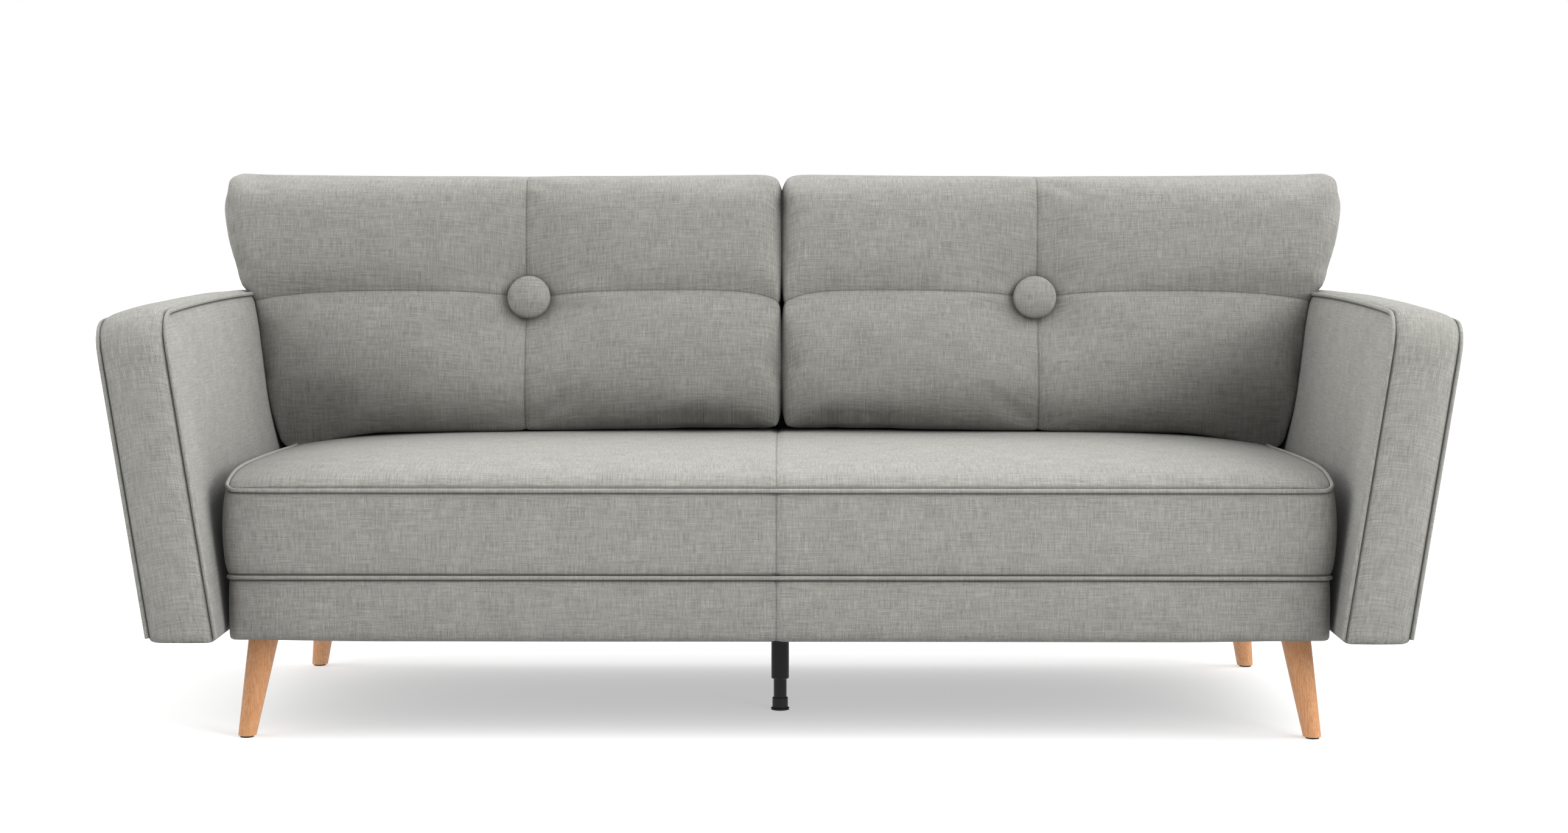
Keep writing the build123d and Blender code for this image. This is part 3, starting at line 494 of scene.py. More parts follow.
def worked_surface(name, colour, metallic, roughness, grit, depth, spread=0.12, sheen=0.0):
    """A coated, plated, moulded or bonded surface, or felt. Its grit is in millimetres,
    and spread is how far its tone wanders."""
    material, tree = new_material(name)
    place = add_node(tree, "ShaderNodeTexCoord").outputs["Object"]
    grain = add_node(
        tree, "ShaderNodeTexNoise", {"Scale": 1000 / grit, "Detail": 2.0}, {"Vector": place})
    cloud = add_node(
        tree, "ShaderNodeTexNoise", {"Scale": 30.0, "Detail": 3.0}, {"Vector": place})
    ramp = add_node(tree, "ShaderNodeValToRGB", links={"Fac": cloud.outputs["Fac"]})
    ramp.color_ramp.elements[0].position = 0.3
    ramp.color_ramp.elements[0].color = (*[c * (1 - spread) for c in colour], 1)
    ramp.color_ramp.elements[1].position = 0.7
    ramp.color_ramp.elements[1].color = (*[min(1, c * (1 + spread)) for c in colour], 1)
    gloss = add_node(
        tree, "ShaderNodeMapRange",
        {"To Min": roughness - 0.06, "To Max": roughness + 0.06}, {"Value": grain.outputs["Fac"]})
    bump = add_node(
        tree, "ShaderNodeBump", {"Strength": 0.3, "Distance": depth},
        {"Height": grain.outputs["Fac"]})
    shader = add_node(
        tree, "ShaderNodeBsdfPrincipled", {"Metallic": metallic, "Sheen Weight": sheen},
        {"Base Color": ramp.outputs["Color"], "Roughness": gloss.outputs["Result"],
         "Normal": bump.outputs["Normal"]})
    close_material(tree, shader)
    return material


def cloth_of(settings):
    return bpy.data.materials.get("heathered_grey_upholstery") or heathered_upholstery(settings)


def dress(obj, settings, body, nodes):
    """Gives a finished upholstered piece its cloth and body, and hides the CAD nodes it stands
    for.
    """
    obj.data.materials.clear()
    obj.data.materials.append(cloth_of(settings))
    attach(obj, body)
    if nodes:
        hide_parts(*nodes)
    return obj


# ---------------------------------------------------------------- settings

class SofaSettings(bpy.types.PropertyGroup):
    """Sizes and colours of the sofa's upholstery."""

    cloth_light: bpy.props.FloatVectorProperty(
        name="Light thread", description="Colour of the lightest threads",
        subtype="COLOR", default=linear("#C3C2BC"))
    cloth_middle: bpy.props.FloatVectorProperty(
        name="Middle thread", description="Colour of most threads",
        subtype="COLOR", default=linear("#A5A49E"))
    cloth_dark: bpy.props.FloatVectorProperty(
        name="Dark thread", description="Colour of the darkest threads",
        subtype="COLOR", default=linear("#83827D"))
    thread_pitch: bpy.props.FloatProperty(
        name="Thread pitch", description="Distance between neighbouring threads",
        subtype="DISTANCE", default=0.0022)
    seat_crown: bpy.props.FloatProperty(
        name="Seat crown", description="How far the seat's top stands above its welt",
        subtype="DISTANCE", default=0.046)
    boxing_swell: bpy.props.FloatProperty(
        name="Boxing swell", description="How far boxing strips stand out between welts",
        subtype="DISTANCE", default=0.004)
    end_swell: bpy.props.FloatProperty(
        name="Seat end swell", description="How far the boxing stands out at the ends",
        subtype="DISTANCE", default=0.009)
    end_lift: bpy.props.FloatProperty(
        name="Seat end lift", description="How far the crown draws the welt up at the ends",
        subtype="DISTANCE", default=0.027)
    arm_crown: bpy.props.FloatProperty(
        name="Arm strip crown", description="How far an arm's strip is rounded out",
        subtype="DISTANCE", default=0.012)
    arm_swell: bpy.props.FloatProperty(
        name="Arm side swell", description="How far an arm's sides are padded out",
        subtype="DISTANCE", default=0.006)
    cushion_swell: bpy.props.FloatProperty(
        name="Cushion swell", description="The most that a back cushion's panels puff out",
        subtype="DISTANCE", default=0.011)
    tuft_depth: bpy.props.FloatProperty(
        name="Tuft depth", description="How far the button draws the cushion in",
        subtype="DISTANCE", default=0.029)
    button_radius: bpy.props.FloatProperty(
        name="Button radius", description="Radius of the covered buttons",
        subtype="DISTANCE", default=0.0395)


def settings_of(context):
    return context.scene.sofa_settings


# ---------------------------------------------------------------- pieces

class StageOperator(bpy.types.Operator):
    """Lays the floor and sets up the light and the camera"""

    bl_idname = "sofa.stage"
    bl_label = "Stage, light and camera"

    def execute(self, context):
        clear_selection()
        bpy.ops.mesh.primitive_plane_add(size=60)
        floor = name_piece(context.object, "studio_floor")
        material, tree = new_material("matt_white_floor")
        shader = add_node(
            tree, "ShaderNodeBsdfPrincipled",
            {"Base Color": (0.78, 0.78, 0.78, 1), "Roughness": 0.9, "Specular IOR Level": 0.1,
             "Emission Color": (1, 1, 1, 1), "Emission Strength": 0.45})
        close_material(tree, shader)
        floor.data.materials.append(material)
        floor.visible_diffuse = False
        floor.visible_glossy = False

        world = context.scene.world or bpy.data.worlds.new("studio")
        context.scene.world = world
        world.use_nodes = True
        tree = world.node_tree
        tree.nodes.clear()
        # the walls show white, and the light from below stands for the floor's
        way = add_node(tree, "ShaderNodeTexCoord").outputs["Generated"]
        height = add_node(tree, "ShaderNodeSeparateXYZ", links={"Vector": way}).outputs["Z"]
        below = add_node(
            tree, "ShaderNodeMapRange",
            {"From Min": -0.7, "From Max": 0.0, "To Min": 0.75, "To Max": 0.0}, {"Value": height})
        above = add_node(
            tree, "ShaderNodeMapRange",
            {"From Min": 0.0, "From Max": 0.7, "To Min": 0.31, "To Max": 0.49}, {"Value": height})
        level = add_node(
            tree, "ShaderNodeMath", {"operation": "ADD"},
            {0: below.outputs["Result"], 1: above.outputs["Result"]})
        soft = add_node(
            tree, "ShaderNodeBackground", {"Color": (1, 1, 1, 1)}, {"Strength": level.outputs[0]})
        white = add_node(tree, "ShaderNodeBackground", {"Color": (1, 1, 1, 1), "Strength": 1.0})
        seen = add_node(tree, "ShaderNodeLightPath").outputs["Is Camera Ray"]
        both = add_node(
            tree, "ShaderNodeMixShader",
            links={0: seen, 1: soft.outputs["Background"], 2: white.outputs["Background"]})
        add_node(tree, "ShaderNodeOutputWorld", links={"Surface": both.outputs["Shader"]})

        self.add_light("top_light", 118, 4, 0.55, 60)
        self.add_light("right_light", 38, 80, 2.45, 50)
        self.add_light("left_light", 34, -82, 1.55, 60)
        self.add_near_light("near_right_light", (3.0, -3.0, 1.7), (0.7, 0, 0.4), 1.6, 42)

        clear_selection()
        bpy.ops.object.camera_add(
            location=(0.036, -4.4852, 0.8811),
            rotation=(math.radians(90 - 4.953), 0, math.radians(0.385)))
        camera = context.object
        camera.data.lens = 59.67
        camera.data.sensor_width = 36
        context.scene.camera = camera
        context.scene.view_settings.view_transform = "Standard"
        return {"FINISHED"}

    def add_light(self, name, height, side, strength, softness):
        """A far light: its height, its turn to the right and its softness in degrees."""
        clear_selection()
        bpy.ops.object.light_add(
            type="SUN", rotation=(math.radians(90 - height), 0, math.radians(side)))
        light = bpy.context.object
        light.name = name
        light.data.energy = strength
        light.data.angle = math.radians(softness)

    def add_near_light(self, name, stand, aim, size, watts):
        clear_selection()
        way = Vector(aim) - Vector(stand)
        bpy.ops.object.light_add(
            type="AREA", location=stand, rotation=way.to_track_quat("-Z", "Y").to_euler())
        light = bpy.context.object
        light.name = name
        light.data.size = size
        light.data.energy = watts


def plan_rounded(points, half, front, rear):
    """Rounds the four upright corners of a bench."""
    for side in (-1, 1):
        round_corner(points, (0, 1), (side * half, front), (-side, 1), PLAN_CORNER)
        round_corner(points, (0, 1), (side * half, rear), (-side, -1), PLAN_CORNER)


def swell_strip(points, half, front, rear, low, high, swell, end_swell):
    """Pushes the upright sides of a block outwards between its lower and upper line."""
    share = np.clip(1 - ((points[:, 2] - (low + high) / 2) / ((high - low) / 2)) ** 2, 0, 1)
    push = (swell + DITCH) * share ** 0.45 - DITCH
    end_push = (end_swell + DITCH) * share ** 0.6 - DITCH
    edge = 0.001
    x, y = points[:, 0], points[:, 1]
    y -= np.where(y < front + edge, push, 0)
    y += np.where(y > rear - edge, push, 0)
    x += np.where(np.abs(x) > half - edge, np.sign(x) * end_push, 0)


def plan_line(half, front, rear, height):
    """Points for a welt round a bench, closer together at its corners."""
    line = []
    radius, steps = PLAN_CORNER, 12
    for sx, y in ((-1, front), (1, front), (1, rear), (-1, rear)):
        inward = 1 if y == front else -1
        centre = Vector((sx * (half - radius), y + inward * radius, height))
        turn = []
        for i in range(4):
            angle = math.radians(30 * i)
            out = Vector((sx * math.sin(angle), -inward * math.cos(angle), 0))
            turn.append(centre + radius * out)
        if (sx, inward) in ((-1, 1), (1, -1)):
            turn.reverse()
        line.append(turn)
    whole = []
    for i, turn in enumerate(line):
        whole += turn
        after = line[(i + 1) % 4][0]
        for j in range(1, steps):
            whole.append(turn[-1].lerp(after, j / steps))
    return whole


class BaseOperator(bpy.types.Operator):
    """Covers the base and sews the welt between base and seat"""

    bl_idname = "sofa.base"
    bl_label = "Upholstered base"

    def execute(self, context):
        settings = settings_of(context)
        low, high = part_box("base_cover")
        half, front, rear, bottom, top = high.x, low.y, high.y, low.z, high.z
        obj = start_block("upholstered_base", (-half, front, bottom), (half, rear, top))
        for axis, spacing in ((2, 0.0106), (1, 0.014), (0, 0.0123)):
            cut_across(obj, axis, spacing)
        points = points_of(obj)
        swell = settings.boxing_swell * 0.7
        swell_strip(points, half, front, rear, bottom - 0.02, top, swell, 0.001)
        plan_rounded(points, half, front, rear)
        # the lower edge is rolled under, and drawn up a little towards both ends
        rise = np.clip((np.abs(points[:, 0]) - (half - 0.25)) / 0.25, 0, 1)
        near_bottom = np.clip((bottom + 0.03 - points[:, 2]) / 0.03, 0, 1)
        edge_gap = np.minimum(points[:, 1] - front, rear - points[:, 1])
        rolled = np.clip(1 - edge_gap / 0.03, 0, 1)
        points[:, 2] += 0.006 * (rise * rise * (3 - 2 * rise)) * near_bottom * rolled
        round_corner(points, (1, 2), (front, bottom), (1, 1), 0.015)
        round_corner(points, (1, 2), (rear, bottom), (-1, 1), 0.015)
        points[:, 1] -= 0.0012 * ripple(points, 0.22, 1) * (points[:, 1] < front + 0.02)
        place_points(obj, points)
        smooth_skin(obj)
        points = points_of(obj)
        seam = points[:, 0] + MIDDLE_SEAM
        press_seam(obj, seam, 0.0022, 0.005)
        # the ditch below the welt along the top edge is darkened as painted shade
        mark_seams(obj, seam, top - WELT_DITCH - points[:, 2])
        lay_cloth_flat(obj)
        dress(obj, settings, "frame", ["base_cover", "base_padding"])

        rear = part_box("seat_cover")[1].y
        line = plan_line(half + WELT_OUT, front - WELT_OUT, rear, BASE_WELT_Z)
        welt = sew_welt("base_welt", line, True)
        dress(welt, settings, "frame", ["seat_piping_lower"])
        return {"FINISHED"}


class SeatOperator(bpy.types.Operator):
    """Makes the crowned bench seat with its boxing and upper welt"""

    bl_idname = "sofa.seat"
    bl_label = "Bench seat"

    def execute(self, context):
        settings = settings_of(context)
        low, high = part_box("seat_cover")
        half, front, rear = high.x, low.y, high.y
        bottom, edge = BASE_WELT_Z + 0.0005, SEAT_WELT_Z
        obj = start_block("bench_seat", (-half, front, bottom), (half, rear, edge))
        for axis, spacing in ((2, 0.0117), (1, 0.012), (0, 0.0123)):
            cut_across(obj, axis, spacing)
        points = points_of(obj)
        # rows lie closer together beside the welt, where the crown rises fast
        inset = half - np.abs(points[:, 0])
        points[:, 0] += np.sign(points[:, 0]) * 0.4 * inset * np.exp(-inset / 0.03)
        inset = points[:, 1] - front
        points[:, 1] -= 0.4 * inset * np.exp(-inset / 0.03)
        on_top = points[:, 2] > edge - TINY
        # the crown is fuller towards the front corners, and lower under the cushions
        back = np.clip((points[:, 1] - front) / 0.55, 0, 1)
        inset = np.maximum(half - np.abs(points[:, 0]), 0)
        rise_x = 1 - np.exp(-inset / (0.060 + 0.070 * back))
        rise_y = self.front_roll(points[:, 1] - front) * (1 - 0.13 * back * back)
        lift = settings.end_lift * self.lifted(points[:, 1] - front)
        crown = settings.seat_crown * rise_x * rise_y + lift * (1 - rise_x)
        at_end = ~on_top & (np.abs(points[:, 0]) > half - 0.0005)
        share = (points[:, 2] - bottom) / (edge - bottom)
        dimple = 0.0025 * ripple(points, 0.30, 2) + 0.0012 * ripple(points, 0.11, 3)
        swell_strip(
            points, half, front, rear, bottom, edge, settings.boxing_swell, settings.end_swell)
        on_front = (points[:, 1] < front + 0.0005) & ~on_top
        plan_rounded(points, half, front, rear)
        sides = np.where(at_end, lift * share, 0)
        points[:, 2] += np.where(on_top, crown + dimple * rise_x * rise_y, sides)
        points[:, 1] += np.where(on_front, 0.0012 * ripple(points, 0.2, 4), 0)
        place_points(obj, points)
        smooth_skin(obj)
        points = points_of(obj)
        drift = 0.004 * np.clip((points[:, 1] - front) / 0.5, 0, 1)
        seam = points[:, 0] + MIDDLE_SEAM + drift
        press_seam(obj, seam, 0.0026, 0.006)
        reach = np.minimum(half - np.abs(points[:, 0]), points[:, 1] - front)
        line = edge + settings.end_lift * self.lifted(points[:, 1] - front)
        above = (points[:, 2] > line - 0.001) & (reach > 0)
        # the ditches beside both welts, on the top panel and the boxing, are darkened as painted
        # shade
        welts = np.where(
            above, reach - WELT_DITCH * 0.7,
            nearest(points[:, 2] - bottom - WELT_DITCH, line - WELT_DITCH - points[:, 2]))
        mark_seams(obj, seam, welts)
        self.lay_panels(obj)
        dress(obj, settings, "frame", ["seat_cover", "seat_foam"])

        path = plan_line(half + WELT_OUT, front - WELT_OUT, rear, edge)
        for spot in path:
            spot.z += settings.end_lift * float(self.lifted(spot.y - front))
        welt = sew_welt("seat_welt", path, True)
        dress(welt, settings, "frame", ["seat_piping_upper"])
        return {"FINISHED"}

    def front_roll(self, inset):
        """Share of the crown's height at a distance back from the front welt."""
        return (1 - np.exp(-np.maximum(inset, 0) / 0.065)) ** 0.5

    def lifted(self, inset):
        """Share of the ends' lift at a distance back from the front welt."""
        inset = np.maximum(inset, 0)
        return (1 - np.exp(-inset / 0.040)) * (1 - 0.45 * np.minimum(inset / 0.55, 1) ** 2)

    def lay_panels(self, obj):
        """The top panel's threads run across and back, the boxing's across and up."""
        p, n = corners_of(obj)
        top = n[:, 2] > 0.45
        side = ~top & (np.abs(n[:, 0]) > np.abs(n[:, 1]))
        u = np.where(side, p[:, 1], p[:, 0])
        v = np.where(top, p[:, 1] + 0.8, p[:, 2])
        lay_cloth(obj, u, v)


class ArmsOperator(bpy.types.Operator):
    """Makes the two flared arms and sews the welts along both edges of their strips"""

    bl_idname = "sofa.arms"
    bl_label = "Flared arms"

    FRONT = -0.440
    REAR = 0.425
    SHOULDER = 0.525
    CREST = (-0.020, 0.5325)
    THICK = 0.106
    CORNER = 0.052

    def execute(self, context):
        settings = settings_of(context)
        for word, side in SIDES.items():
            self.make_arm(settings, word, side)
        return {"FINISHED"}

    def crest_rise(self, y):
        """How far the arm's top stands above its two shoulders."""
        run = np.where(y < self.CREST[0], self.CREST[0] - self.FRONT, self.REAR - self.CREST[0])
        return (self.CREST[1] - self.SHOULDER) * (1 - ((y - self.CREST[0]) / run) ** 2)

    def make_arm(self, settings, word, side):
        obj = start_block(
            f"arm_{word}", (0, self.FRONT, 0), (self.THICK, self.REAR, self.SHOULDER))
        for axis, spacing in ((0, 0.0106), (1, 0.0115), (2, 0.0112)):
            cut_across(obj, axis, spacing)
        points = points_of(obj)
        d, y, h = points[:, 0].copy(), points[:, 1].copy(), points[:, 2].copy()
        front = y < self.FRONT + TINY
        rear = y > self.REAR - TINY
        strip = front | rear | (h > self.SHOULDER - TINY)

        # the strip is rounded out between its welts
        bow = np.clip(1 - ((d - self.THICK / 2) / (self.THICK / 2)) ** 2, 0, 1) ** 0.55
        bow = bow * (settings.arm_crown + DITCH + 0.0015 * ripple(points, 0.16, 5 + side)) - DITCH
        corner_y = np.clip((self.FRONT + self.CORNER - y) / self.CORNER, 0, 1)
        corner_r = np.clip((y - self.REAR + self.CORNER) / self.CORNER, 0, 1)
        corner_h = np.clip((h - self.SHOULDER + self.CORNER) / self.CORNER, 0, 1)
        reach = np.maximum(np.hypot(np.maximum(corner_y, corner_r), corner_h), 1e-9)
        ny = np.where(strip, (corner_r - corner_y) / reach, 0)
        nh = np.where(strip, corner_h / reach, 0)
        round_corner(points, (1, 2), (self.FRONT, self.SHOULDER), (1, -1), self.CORNER)
        round_corner(points, (1, 2), (self.REAR, self.SHOULDER), (-1, -1), self.CORNER)
        points[:, 1] += ny * bow
        points[:, 2] += nh * bow

        # the sides are padded out from their welts
        inset = np.minimum(np.minimum(y - self.FRONT, self.REAR - y), self.SHOULDER - h)
        pad = (settings.arm_swell + DITCH) * (1 - np.exp(-inset / 0.020)) - DITCH
        pad = pad + 0.0012 * ripple(points, 0.18, 8 + side) * np.clip(inset / 0.03, 0, 1)
        points[:, 0] -= np.where(d < TINY, pad * np.clip(h / 0.25, 0, 1), 0)
        fuller = pad * np.where(pad > 0, 1.4, 1) * np.clip(h / 0.10, 0.3, 1)
        points[:, 0] += np.where(d > self.THICK - TINY, fuller, 0)

        # softened lower corners, a level underside, and the crest along the top
        round_corner(points, (0, 2), (0, 0), (1, 1), 0.007)
        round_corner(points, (0, 2), (self.THICK, 0), (-1, 1), 0.009)
        underside = np.tan(ARM_LEAN) * points[:, 0]
        points[:, 2] = underside + points[:, 2] * (1 - underside / self.SHOULDER)
        points[:, 2] += self.crest_rise(points[:, 1]) * np.clip(h / self.SHOULDER, 0, 1) ** 2
        place_points(obj, points)
        smooth_skin(obj)
        done = points_of(obj)
        depth = np.minimum(done[:, 0], self.THICK - done[:, 0])
        shoulder = self.SHOULDER + self.crest_rise(done[:, 1])
        edge_in = np.minimum(done[:, 1] - self.FRONT, self.REAR - done[:, 1])
        edge_in = np.minimum(edge_in, shoulder - done[:, 2])
        # the ditches beside the strip's welts are darkened as painted shade
        mark_seams(obj, FAR, np.where(depth < 0.003, edge_in, depth) - WELT_DITCH)

        p, n = corners_of(obj)
        face = np.abs(n[:, 0]) > 0.7
        under = n[:, 2] < -0.7
        u = np.where(face | under, p[:, 1], p[:, 0])
        v = np.where(face, p[:, 2], np.where(under, p[:, 0], p[:, 1] + p[:, 2]))
        v = np.where(~face & ~under & (n[:, 1] > 0.3), p[:, 2] - p[:, 1], v)
        lay_cloth(obj, u, v)
        place = leaning(ARM_LEAN, ARM_FOOT, side)
        place_points(obj, moved(points_of(obj), place))
        point_out(obj)
        dress(obj, settings, "frame", [f"arm_cover_{word}", f"arm_padding_{word}"])

        for name, depth, out in (("inner", 0.0, -WELT_OUT), ("outer", self.THICK, WELT_OUT)):
            line = [place @ Vector((depth + out, *spot)) for spot in self.outline(depth)]
            welt = sew_welt(f"arm_welt_{name}_{word}", line, False)
            dress(welt, settings, "frame", [f"arm_piping_{name}_{word}"])

    def outline(self, depth):
        """The welt's line up the front, over the crest and down the rear."""
        foot = math.tan(ARM_LEAN) * depth + 0.008
        bend = self.SHOULDER - self.CORNER
        spots = [(self.FRONT, foot + (bend - foot) * i / 10) for i in range(11)]
        for i in range(1, 4):
            turn = math.radians(90 * i / 4)
            spots.append((
                self.FRONT + self.CORNER * (1 - math.cos(turn)),
                bend + self.CORNER * math.sin(turn)))
        run = self.REAR - self.FRONT - 2 * self.CORNER
        spots += [(self.FRONT + self.CORNER + run * i / 14, self.SHOULDER) for i in range(15)]
        for i in range(1, 4):
            turn = math.radians(90 * i / 4)
            spots.append((
                self.REAR - self.CORNER + self.CORNER * math.sin(turn),
                bend + self.CORNER * math.cos(turn)))
        spots += [(self.REAR, bend - (bend - foot) * i / 10) for i in range(11)]
        return [
            (y, h + float(self.crest_rise(np.float64(y))) * (h / self.SHOULDER) ** 2)
            for y, h in spots]


class BackOperator(bpy.types.Operator):
    """Makes the padded back that the cushions lean on"""

    bl_idname = "sofa.back"
    bl_label = "Padded back"

    def execute(self, context):
        settings = settings_of(context)
        foot, height, thick = 0.895, 0.615, 0.042
        flare = math.tan(ARM_LEAN) * math.cos(BACK_LEAN)
        obj = start_block("padded_back", (-foot, -thick, 0.0), (foot, 0, height))
        for axis, spacing in ((1, 0.0105), (2, 0.0140), (0, 0.0140)):
            cut_across(obj, axis, spacing)
        points = points_of(obj)
        x, d, h = points[:, 0].copy(), points[:, 1].copy(), points[:, 2].copy()
        for side in (-1, 1):
            round_corner(points, (0, 2), (side * foot, height), (-side, -1), 0.040)
        inset = np.minimum(foot - np.abs(x), np.minimum(height - h, h + 0.01))
        pad = 0.004 * (1 - np.exp(-inset / 0.03)) + 0.0012 * ripple(points, 0.25, 12)
        points[:, 1] += np.where(d > -TINY, pad, 0)
        points[:, 0] *= 1 + flare * points[:, 2] / foot
        place_points(obj, points)
        smooth_skin(obj)
        lay_cloth_flat(obj)
        place_points(obj, moved(points_of(obj), leaning(BACK_LEAN, BACK_FOOT)))
        point_out(obj)
        dress(obj, settings, "frame", ["back_cover", "back_padding"])
        return {"FINISHED"}


class BackCushionsOperator(bpy.types.Operator):
    """Makes the two loose back cushions, sewn in four panels and drawn in at the button"""

    bl_idname = "sofa.back_cushions"
    bl_label = "Loose back cushions"

    BUTTON = (0.460, 0.692)            # x, z
    UPRIGHT_SEAM = 0.4655
    DEEP = 0.150
    HOLE_R = 0.046                     # the fill's hole for the button

    def execute(self, context):
        settings = settings_of(context)
        for word, side in SIDES.items():
            self.make_cushion(settings, word, side)
        return {"FINISHED"}

    def cross_seam(self, x):
        """Height of the cross seam, which dips at the button and at both ends."""
        line = 0.705 - 0.013 * np.exp(-np.abs(x - self.BUTTON[0]) / 0.095)
        line = line - 0.025 * np.exp(-np.maximum(x, 0) / 0.040)
        line = line - 0.032 * np.exp(-np.maximum(1.0 - x, 0) / 0.090)
        return (line - CUSHION_FOOT[1]) / math.cos(BACK_LEAN)

    def seam_distances(self, points, side):
        """Signed distances from the upright seam and from the cross seam."""
        x = points[:, 0] * side
        across = x - self.UPRIGHT_SEAM
        along = points[:, 2] - self.cross_seam(x)
        back = np.maximum(points[:, 1] - 0.075, 0)
        across = across + np.where(across < 0, -1, 1) * back * 5
        along = along + np.where(along < 0, -1, 1) * np.maximum(points[:, 1] - 0.05, 0) * 5
        return across, along

    def make_cushion(self, settings, word, side):
        source = frame["nodes"][f"back_cushion_fill_{word}"]
        clear_selection()
        obj = bpy.data.objects.new(f"cushion_{word}", source.data.copy())
        bpy.context.collection.objects.link(obj)
        name_piece(obj, f"cushion_{word}")
        take(obj)
        bpy.ops.object.mode_set(mode="EDIT")
        bpy.ops.mesh.select_all(action="SELECT")
        bpy.ops.mesh.remove_doubles(threshold=0.00005)
        bpy.ops.object.mode_set(mode="OBJECT")
        place = leaning(BACK_LEAN, CUSHION_FOOT)
        points = moved(points_of(obj), place.inverted())
        button_x = side * self.BUTTON[0]
        button_h = (self.BUTTON[1] - CUSHION_FOOT[1]) / math.cos(BACK_LEAN)
        r = np.hypot(points[:, 0] - button_x, points[:, 2] - button_h)
        face = points[r > 0.05, 1].min()
        # the hole for the button is closed, and drawn in again as a tuft
        points[:, 1] = np.where((r < self.HOLE_R) & (points[:, 1] < 0.035), face, points[:, 1])
        place_points(obj, points)
        obj.data.remesh_voxel_size = 0.008
        take(obj)
        bpy.ops.object.voxel_remesh()

        points = points_of(obj)
        across, along = self.seam_distances(points, side)
        r = np.hypot(points[:, 0] - button_x, points[:, 2] - button_h)
        facing = np.clip(1 - (points[:, 1] - face) / 0.06, 0, 1)
        near = np.minimum(np.abs(across), np.abs(along))
        draw = 0.007 * np.exp(-((near / 0.012) ** 2))
        draw = np.maximum(draw, settings.tuft_depth * np.exp(-((r / 0.090) ** 1.5)))
        points[:, 1] += draw * facing
        # the lower edge rolls under towards the seat, and the outer end fills out against the arm
        h = points[:, 2]
        points[:, 1] += 0.040 * np.clip(1 - (h + 0.02) / 0.105, 0, 1) ** 2 * facing
        x = points[:, 0] * side
        heights, widths = (-0.033, 0.0, 0.051, 0.112, 0.193), (0.026, 0.016, 0.011, 0.005, 0.0)
        fuller = np.interp(h, heights, widths)
        fuller = fuller + 0.016 * np.exp(-(((h - 0.262) / 0.026) ** 2))
        points[:, 0] += side * fuller * np.clip((x - 0.76) / 0.12, 0, 1)
        # the top outer corner is drawn out to a short ear
        peak = points[:, 2].max()
        tip = x[points[:, 2] > peak - 0.03].max()
        ear = np.exp(-((x - tip) ** 2 + (points[:, 2] - peak) ** 2) / 0.030 ** 2)
        points[:, 0] += side * 0.008 * ear
        points[:, 2] += 0.006 * ear
        place_points(obj, points)

        rests = (points[:, 1] > self.DEEP - 0.012) | (points[:, 2] < -0.018)
        sewn = (near < 0.006) & (points[:, 1] < face + 0.05)
        held = rests | sewn | (r < self.HOLE_R)
        cap = np.where(points[:, 1] < face + 0.045, settings.cushion_swell, 0.003)
        puff(obj, held, cap, 4.0)
        take(obj)
        ease = obj.modifiers.new("ease", "SMOOTH")
        ease.factor = 0.5
        ease.iterations = 8
        bpy.ops.object.modifier_apply(modifier=ease.name)
        smooth_skin(obj)

        points = points_of(obj)
        across, along = self.seam_distances(points, side)
        near = np.minimum(np.abs(across), np.abs(along))
        press_seam(obj, near, 0.0025, 0.0045)
        mark_seams(obj, across, along)
        p, n = corners_of(obj)
        ends = np.abs(n[:, 0]) > 0.72
        u = np.where(ends, np.sign(n[:, 0]) * p[:, 1] + p[:, 0], p[:, 0])
        v = np.where(ends, p[:, 2], p[:, 2] + p[:, 1])
        lay_cloth(obj, u, v)
        place_points(obj, moved(points_of(obj), place))
        point_out(obj)
        body = f"back_cushion_{word}"
        nodes = [f"back_cushion_fill_{word}", f"back_cushion_cover_{word}"]
        dress(obj, settings, body, nodes)


class ButtonsOperator(bpy.types.Operator):
    """Makes the two large covered buttons"""

    bl_idname = "sofa.buttons"
    bl_label = "Covered buttons"

    # the width and rise of each ring, from the rim to the middle
    DOME = (
        (0.0035, 0.0030), (0.006, 0.0030), (0.009, 0.0022), (0.010, 0.0010), (0.0085, 0.0004))

    def execute(self, context):
        settings = settings_of(context)
        radius = settings.button_radius
        for word, side in SIDES.items():
            clear_selection()
            bpy.ops.mesh.primitive_cylinder_add(
                vertices=40, radius=radius, depth=0.014, end_fill_type="NGON")
            obj = name_piece(context.object, f"covered_button_{word}")
            bpy.ops.object.mode_set(mode="EDIT")
            bpy.ops.mesh.select_mode(type="FACE")
            bpy.ops.mesh.select_all(action="DESELECT")
            cage = bmesh.from_edit_mesh(obj.data)
            for face in cage.faces:
                face.select_set(face.normal.z > 0.9)
            bmesh.update_edit_mesh(obj.data)
            for width, rise in self.DOME:
                bpy.ops.mesh.inset(thickness=width, depth=rise)
            bpy.ops.mesh.poke()
            bpy.ops.object.mode_set(mode="OBJECT")
            smooth_skin(obj, 2)
            low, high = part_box(f"cushion_button_{word}")
            middle = (low + high) / 2
            p, n = corners_of(obj)
            lay_cloth(obj, p[:, 0] + side * 0.31, p[:, 1] + 0.17)
            turn = Matrix.Rotation(math.radians(90) - BACK_LEAN, 4, "X")
            shift = Vector((0, math.cos(BACK_LEAN), -math.sin(BACK_LEAN))) * -0.002
            place = Matrix.Translation(middle + shift) @ turn
            place_points(obj, moved(points_of(obj), place))
            point_out(obj)
            dress(obj, settings, f"back_cushion_{word}", [f"cushion_button_{word}"])
        return {"FINISHED"}


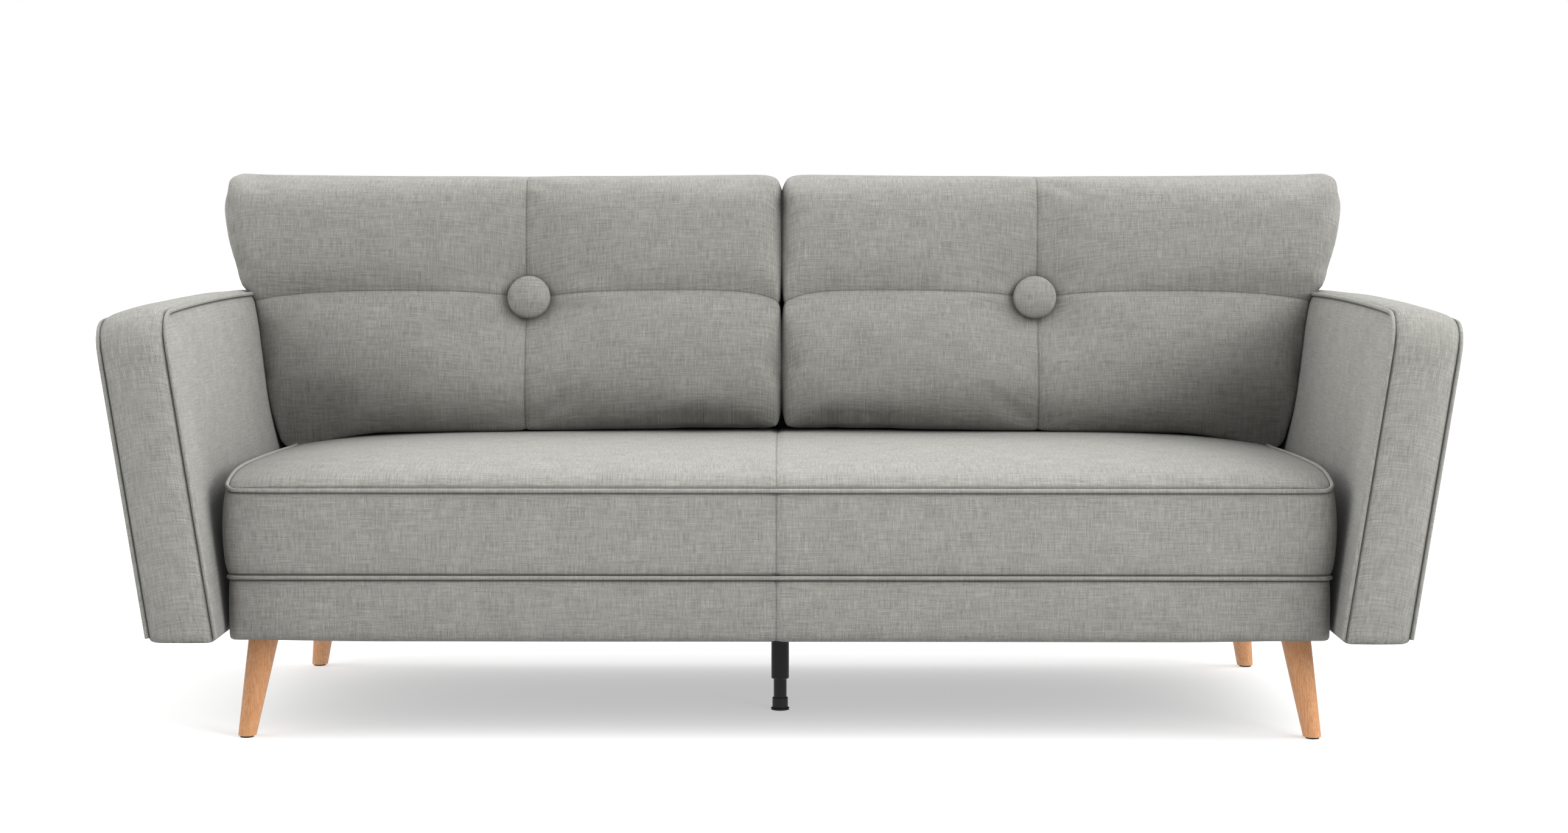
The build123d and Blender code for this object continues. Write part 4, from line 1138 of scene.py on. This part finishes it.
class FrameFinishesOperator(bpy.types.Operator):
    """Gives the legs, the timber, the springs and the fittings their finishes"""

    bl_idname = "sofa.frame_finishes"
    bl_label = "Frame, legs and fittings"

    def execute(self, context):
        finishes = {
            # turned beech, sanded and clear lacquered: warm, close grained, with short dark flecks
            "beech": grained_wood(
                "lacquered_beech", linear("#E7AD7C"), linear("#D08C58"), 1.6, 0.7, 0.42, 0.25),
            # planed softwood: pale, with wider soft rings
            "pine_frame": grained_wood(
                "planed_pine", linear("#DDBE8D"), linear("#C49A62"), 5.0, 1.2, 0.7, 0.0),
            # pressed fibre board: brown and mottled, smooth on its face
            "hardboard": worked_surface(
                "pressed_hardboard", linear("#7A5636"), 0, 0.62, 1.5, 0.0002, 0.2),
            # oil-tempered spring wire: dark, slightly blue
            "spring_steel": worked_surface(
                "tempered_spring_wire", linear("#6E7074"), 1, 0.38, 0.8, 0.00008),
            # bright zinc plate: light grey with faint clouding
            "zinc_steel": worked_surface(
                "zinc_plated_steel", linear("#C4C7CA"), 1, 0.34, 1.2, 0.00006),
            # baked powder coat: satin black with a fine orange-peel
            "black_powder_coat": worked_surface(
                "black_powder_coat", linear("#0B0C0D"), 0, 0.42, 1.0, 0.0001, 0.2),
            # moulded nylon: black, slightly duller than the coat
            "black_nylon": worked_surface(
                "moulded_black_nylon", linear("#0E0E0F"), 0, 0.5, 0.6, 0.00008, 0.2),
            # needled felt pad over the springs: pale, matt and fibrous
            "foam": worked_surface(
                "needled_felt_pad", linear("#CDC7B4"), 0, 0.95, 1.4, 0.0008, 0.15, 0.2),
            # spun bonded lining: thin black felted fibres
            "black_cloth": worked_surface(
                "spunbond_lining", linear("#202021"), 0, 0.93, 0.9, 0.0004, 0.3, 0.3),
        }
        for row in frame["record"]["subparts"]:
            obj = frame["nodes"][row["node"]]
            if obj.hide_render:
                continue
            for place in obj.material_slots:
                place.material = finishes[row["material_slot"]]
        return {"FINISHED"}


class SofaPanel(bpy.types.Panel):
    """Lists the sofa's pieces in the order they are made"""

    bl_idname = "SOFA_PT_pieces"
    bl_label = "Sofa"
    bl_space_type = "VIEW_3D"
    bl_region_type = "UI"
    bl_category = "Sofa"

    def draw(self, context):
        settings = settings_of(context)
        for name in settings.bl_rna.properties.keys():
            if name not in ("rna_type", "name"):
                self.layout.prop(settings, name)
        for operator in OPERATORS:
            self.layout.operator(operator.bl_idname)


OPERATORS = [
    StageOperator, BaseOperator, SeatOperator, ArmsOperator, BackOperator,
    BackCushionsOperator, ButtonsOperator, FrameFinishesOperator,
]
CLASSES = [SofaSettings, *OPERATORS, SofaPanel]


def register():
    for cls in CLASSES:
        bpy.utils.register_class(cls)
    bpy.types.Scene.sofa_settings = bpy.props.PointerProperty(type=SofaSettings)


def unregister():
    del bpy.types.Scene.sofa_settings
    for cls in reversed(CLASSES):
        bpy.utils.unregister_class(cls)


def main():
    register()
    bpy.ops.sofa.stage()
    bpy.ops.sofa.base()
    bpy.ops.sofa.seat()
    bpy.ops.sofa.arms()
    bpy.ops.sofa.back()
    bpy.ops.sofa.back_cushions()
    bpy.ops.sofa.buttons()
    bpy.ops.sofa.frame_finishes()


if __name__ == "__main__":
    main()
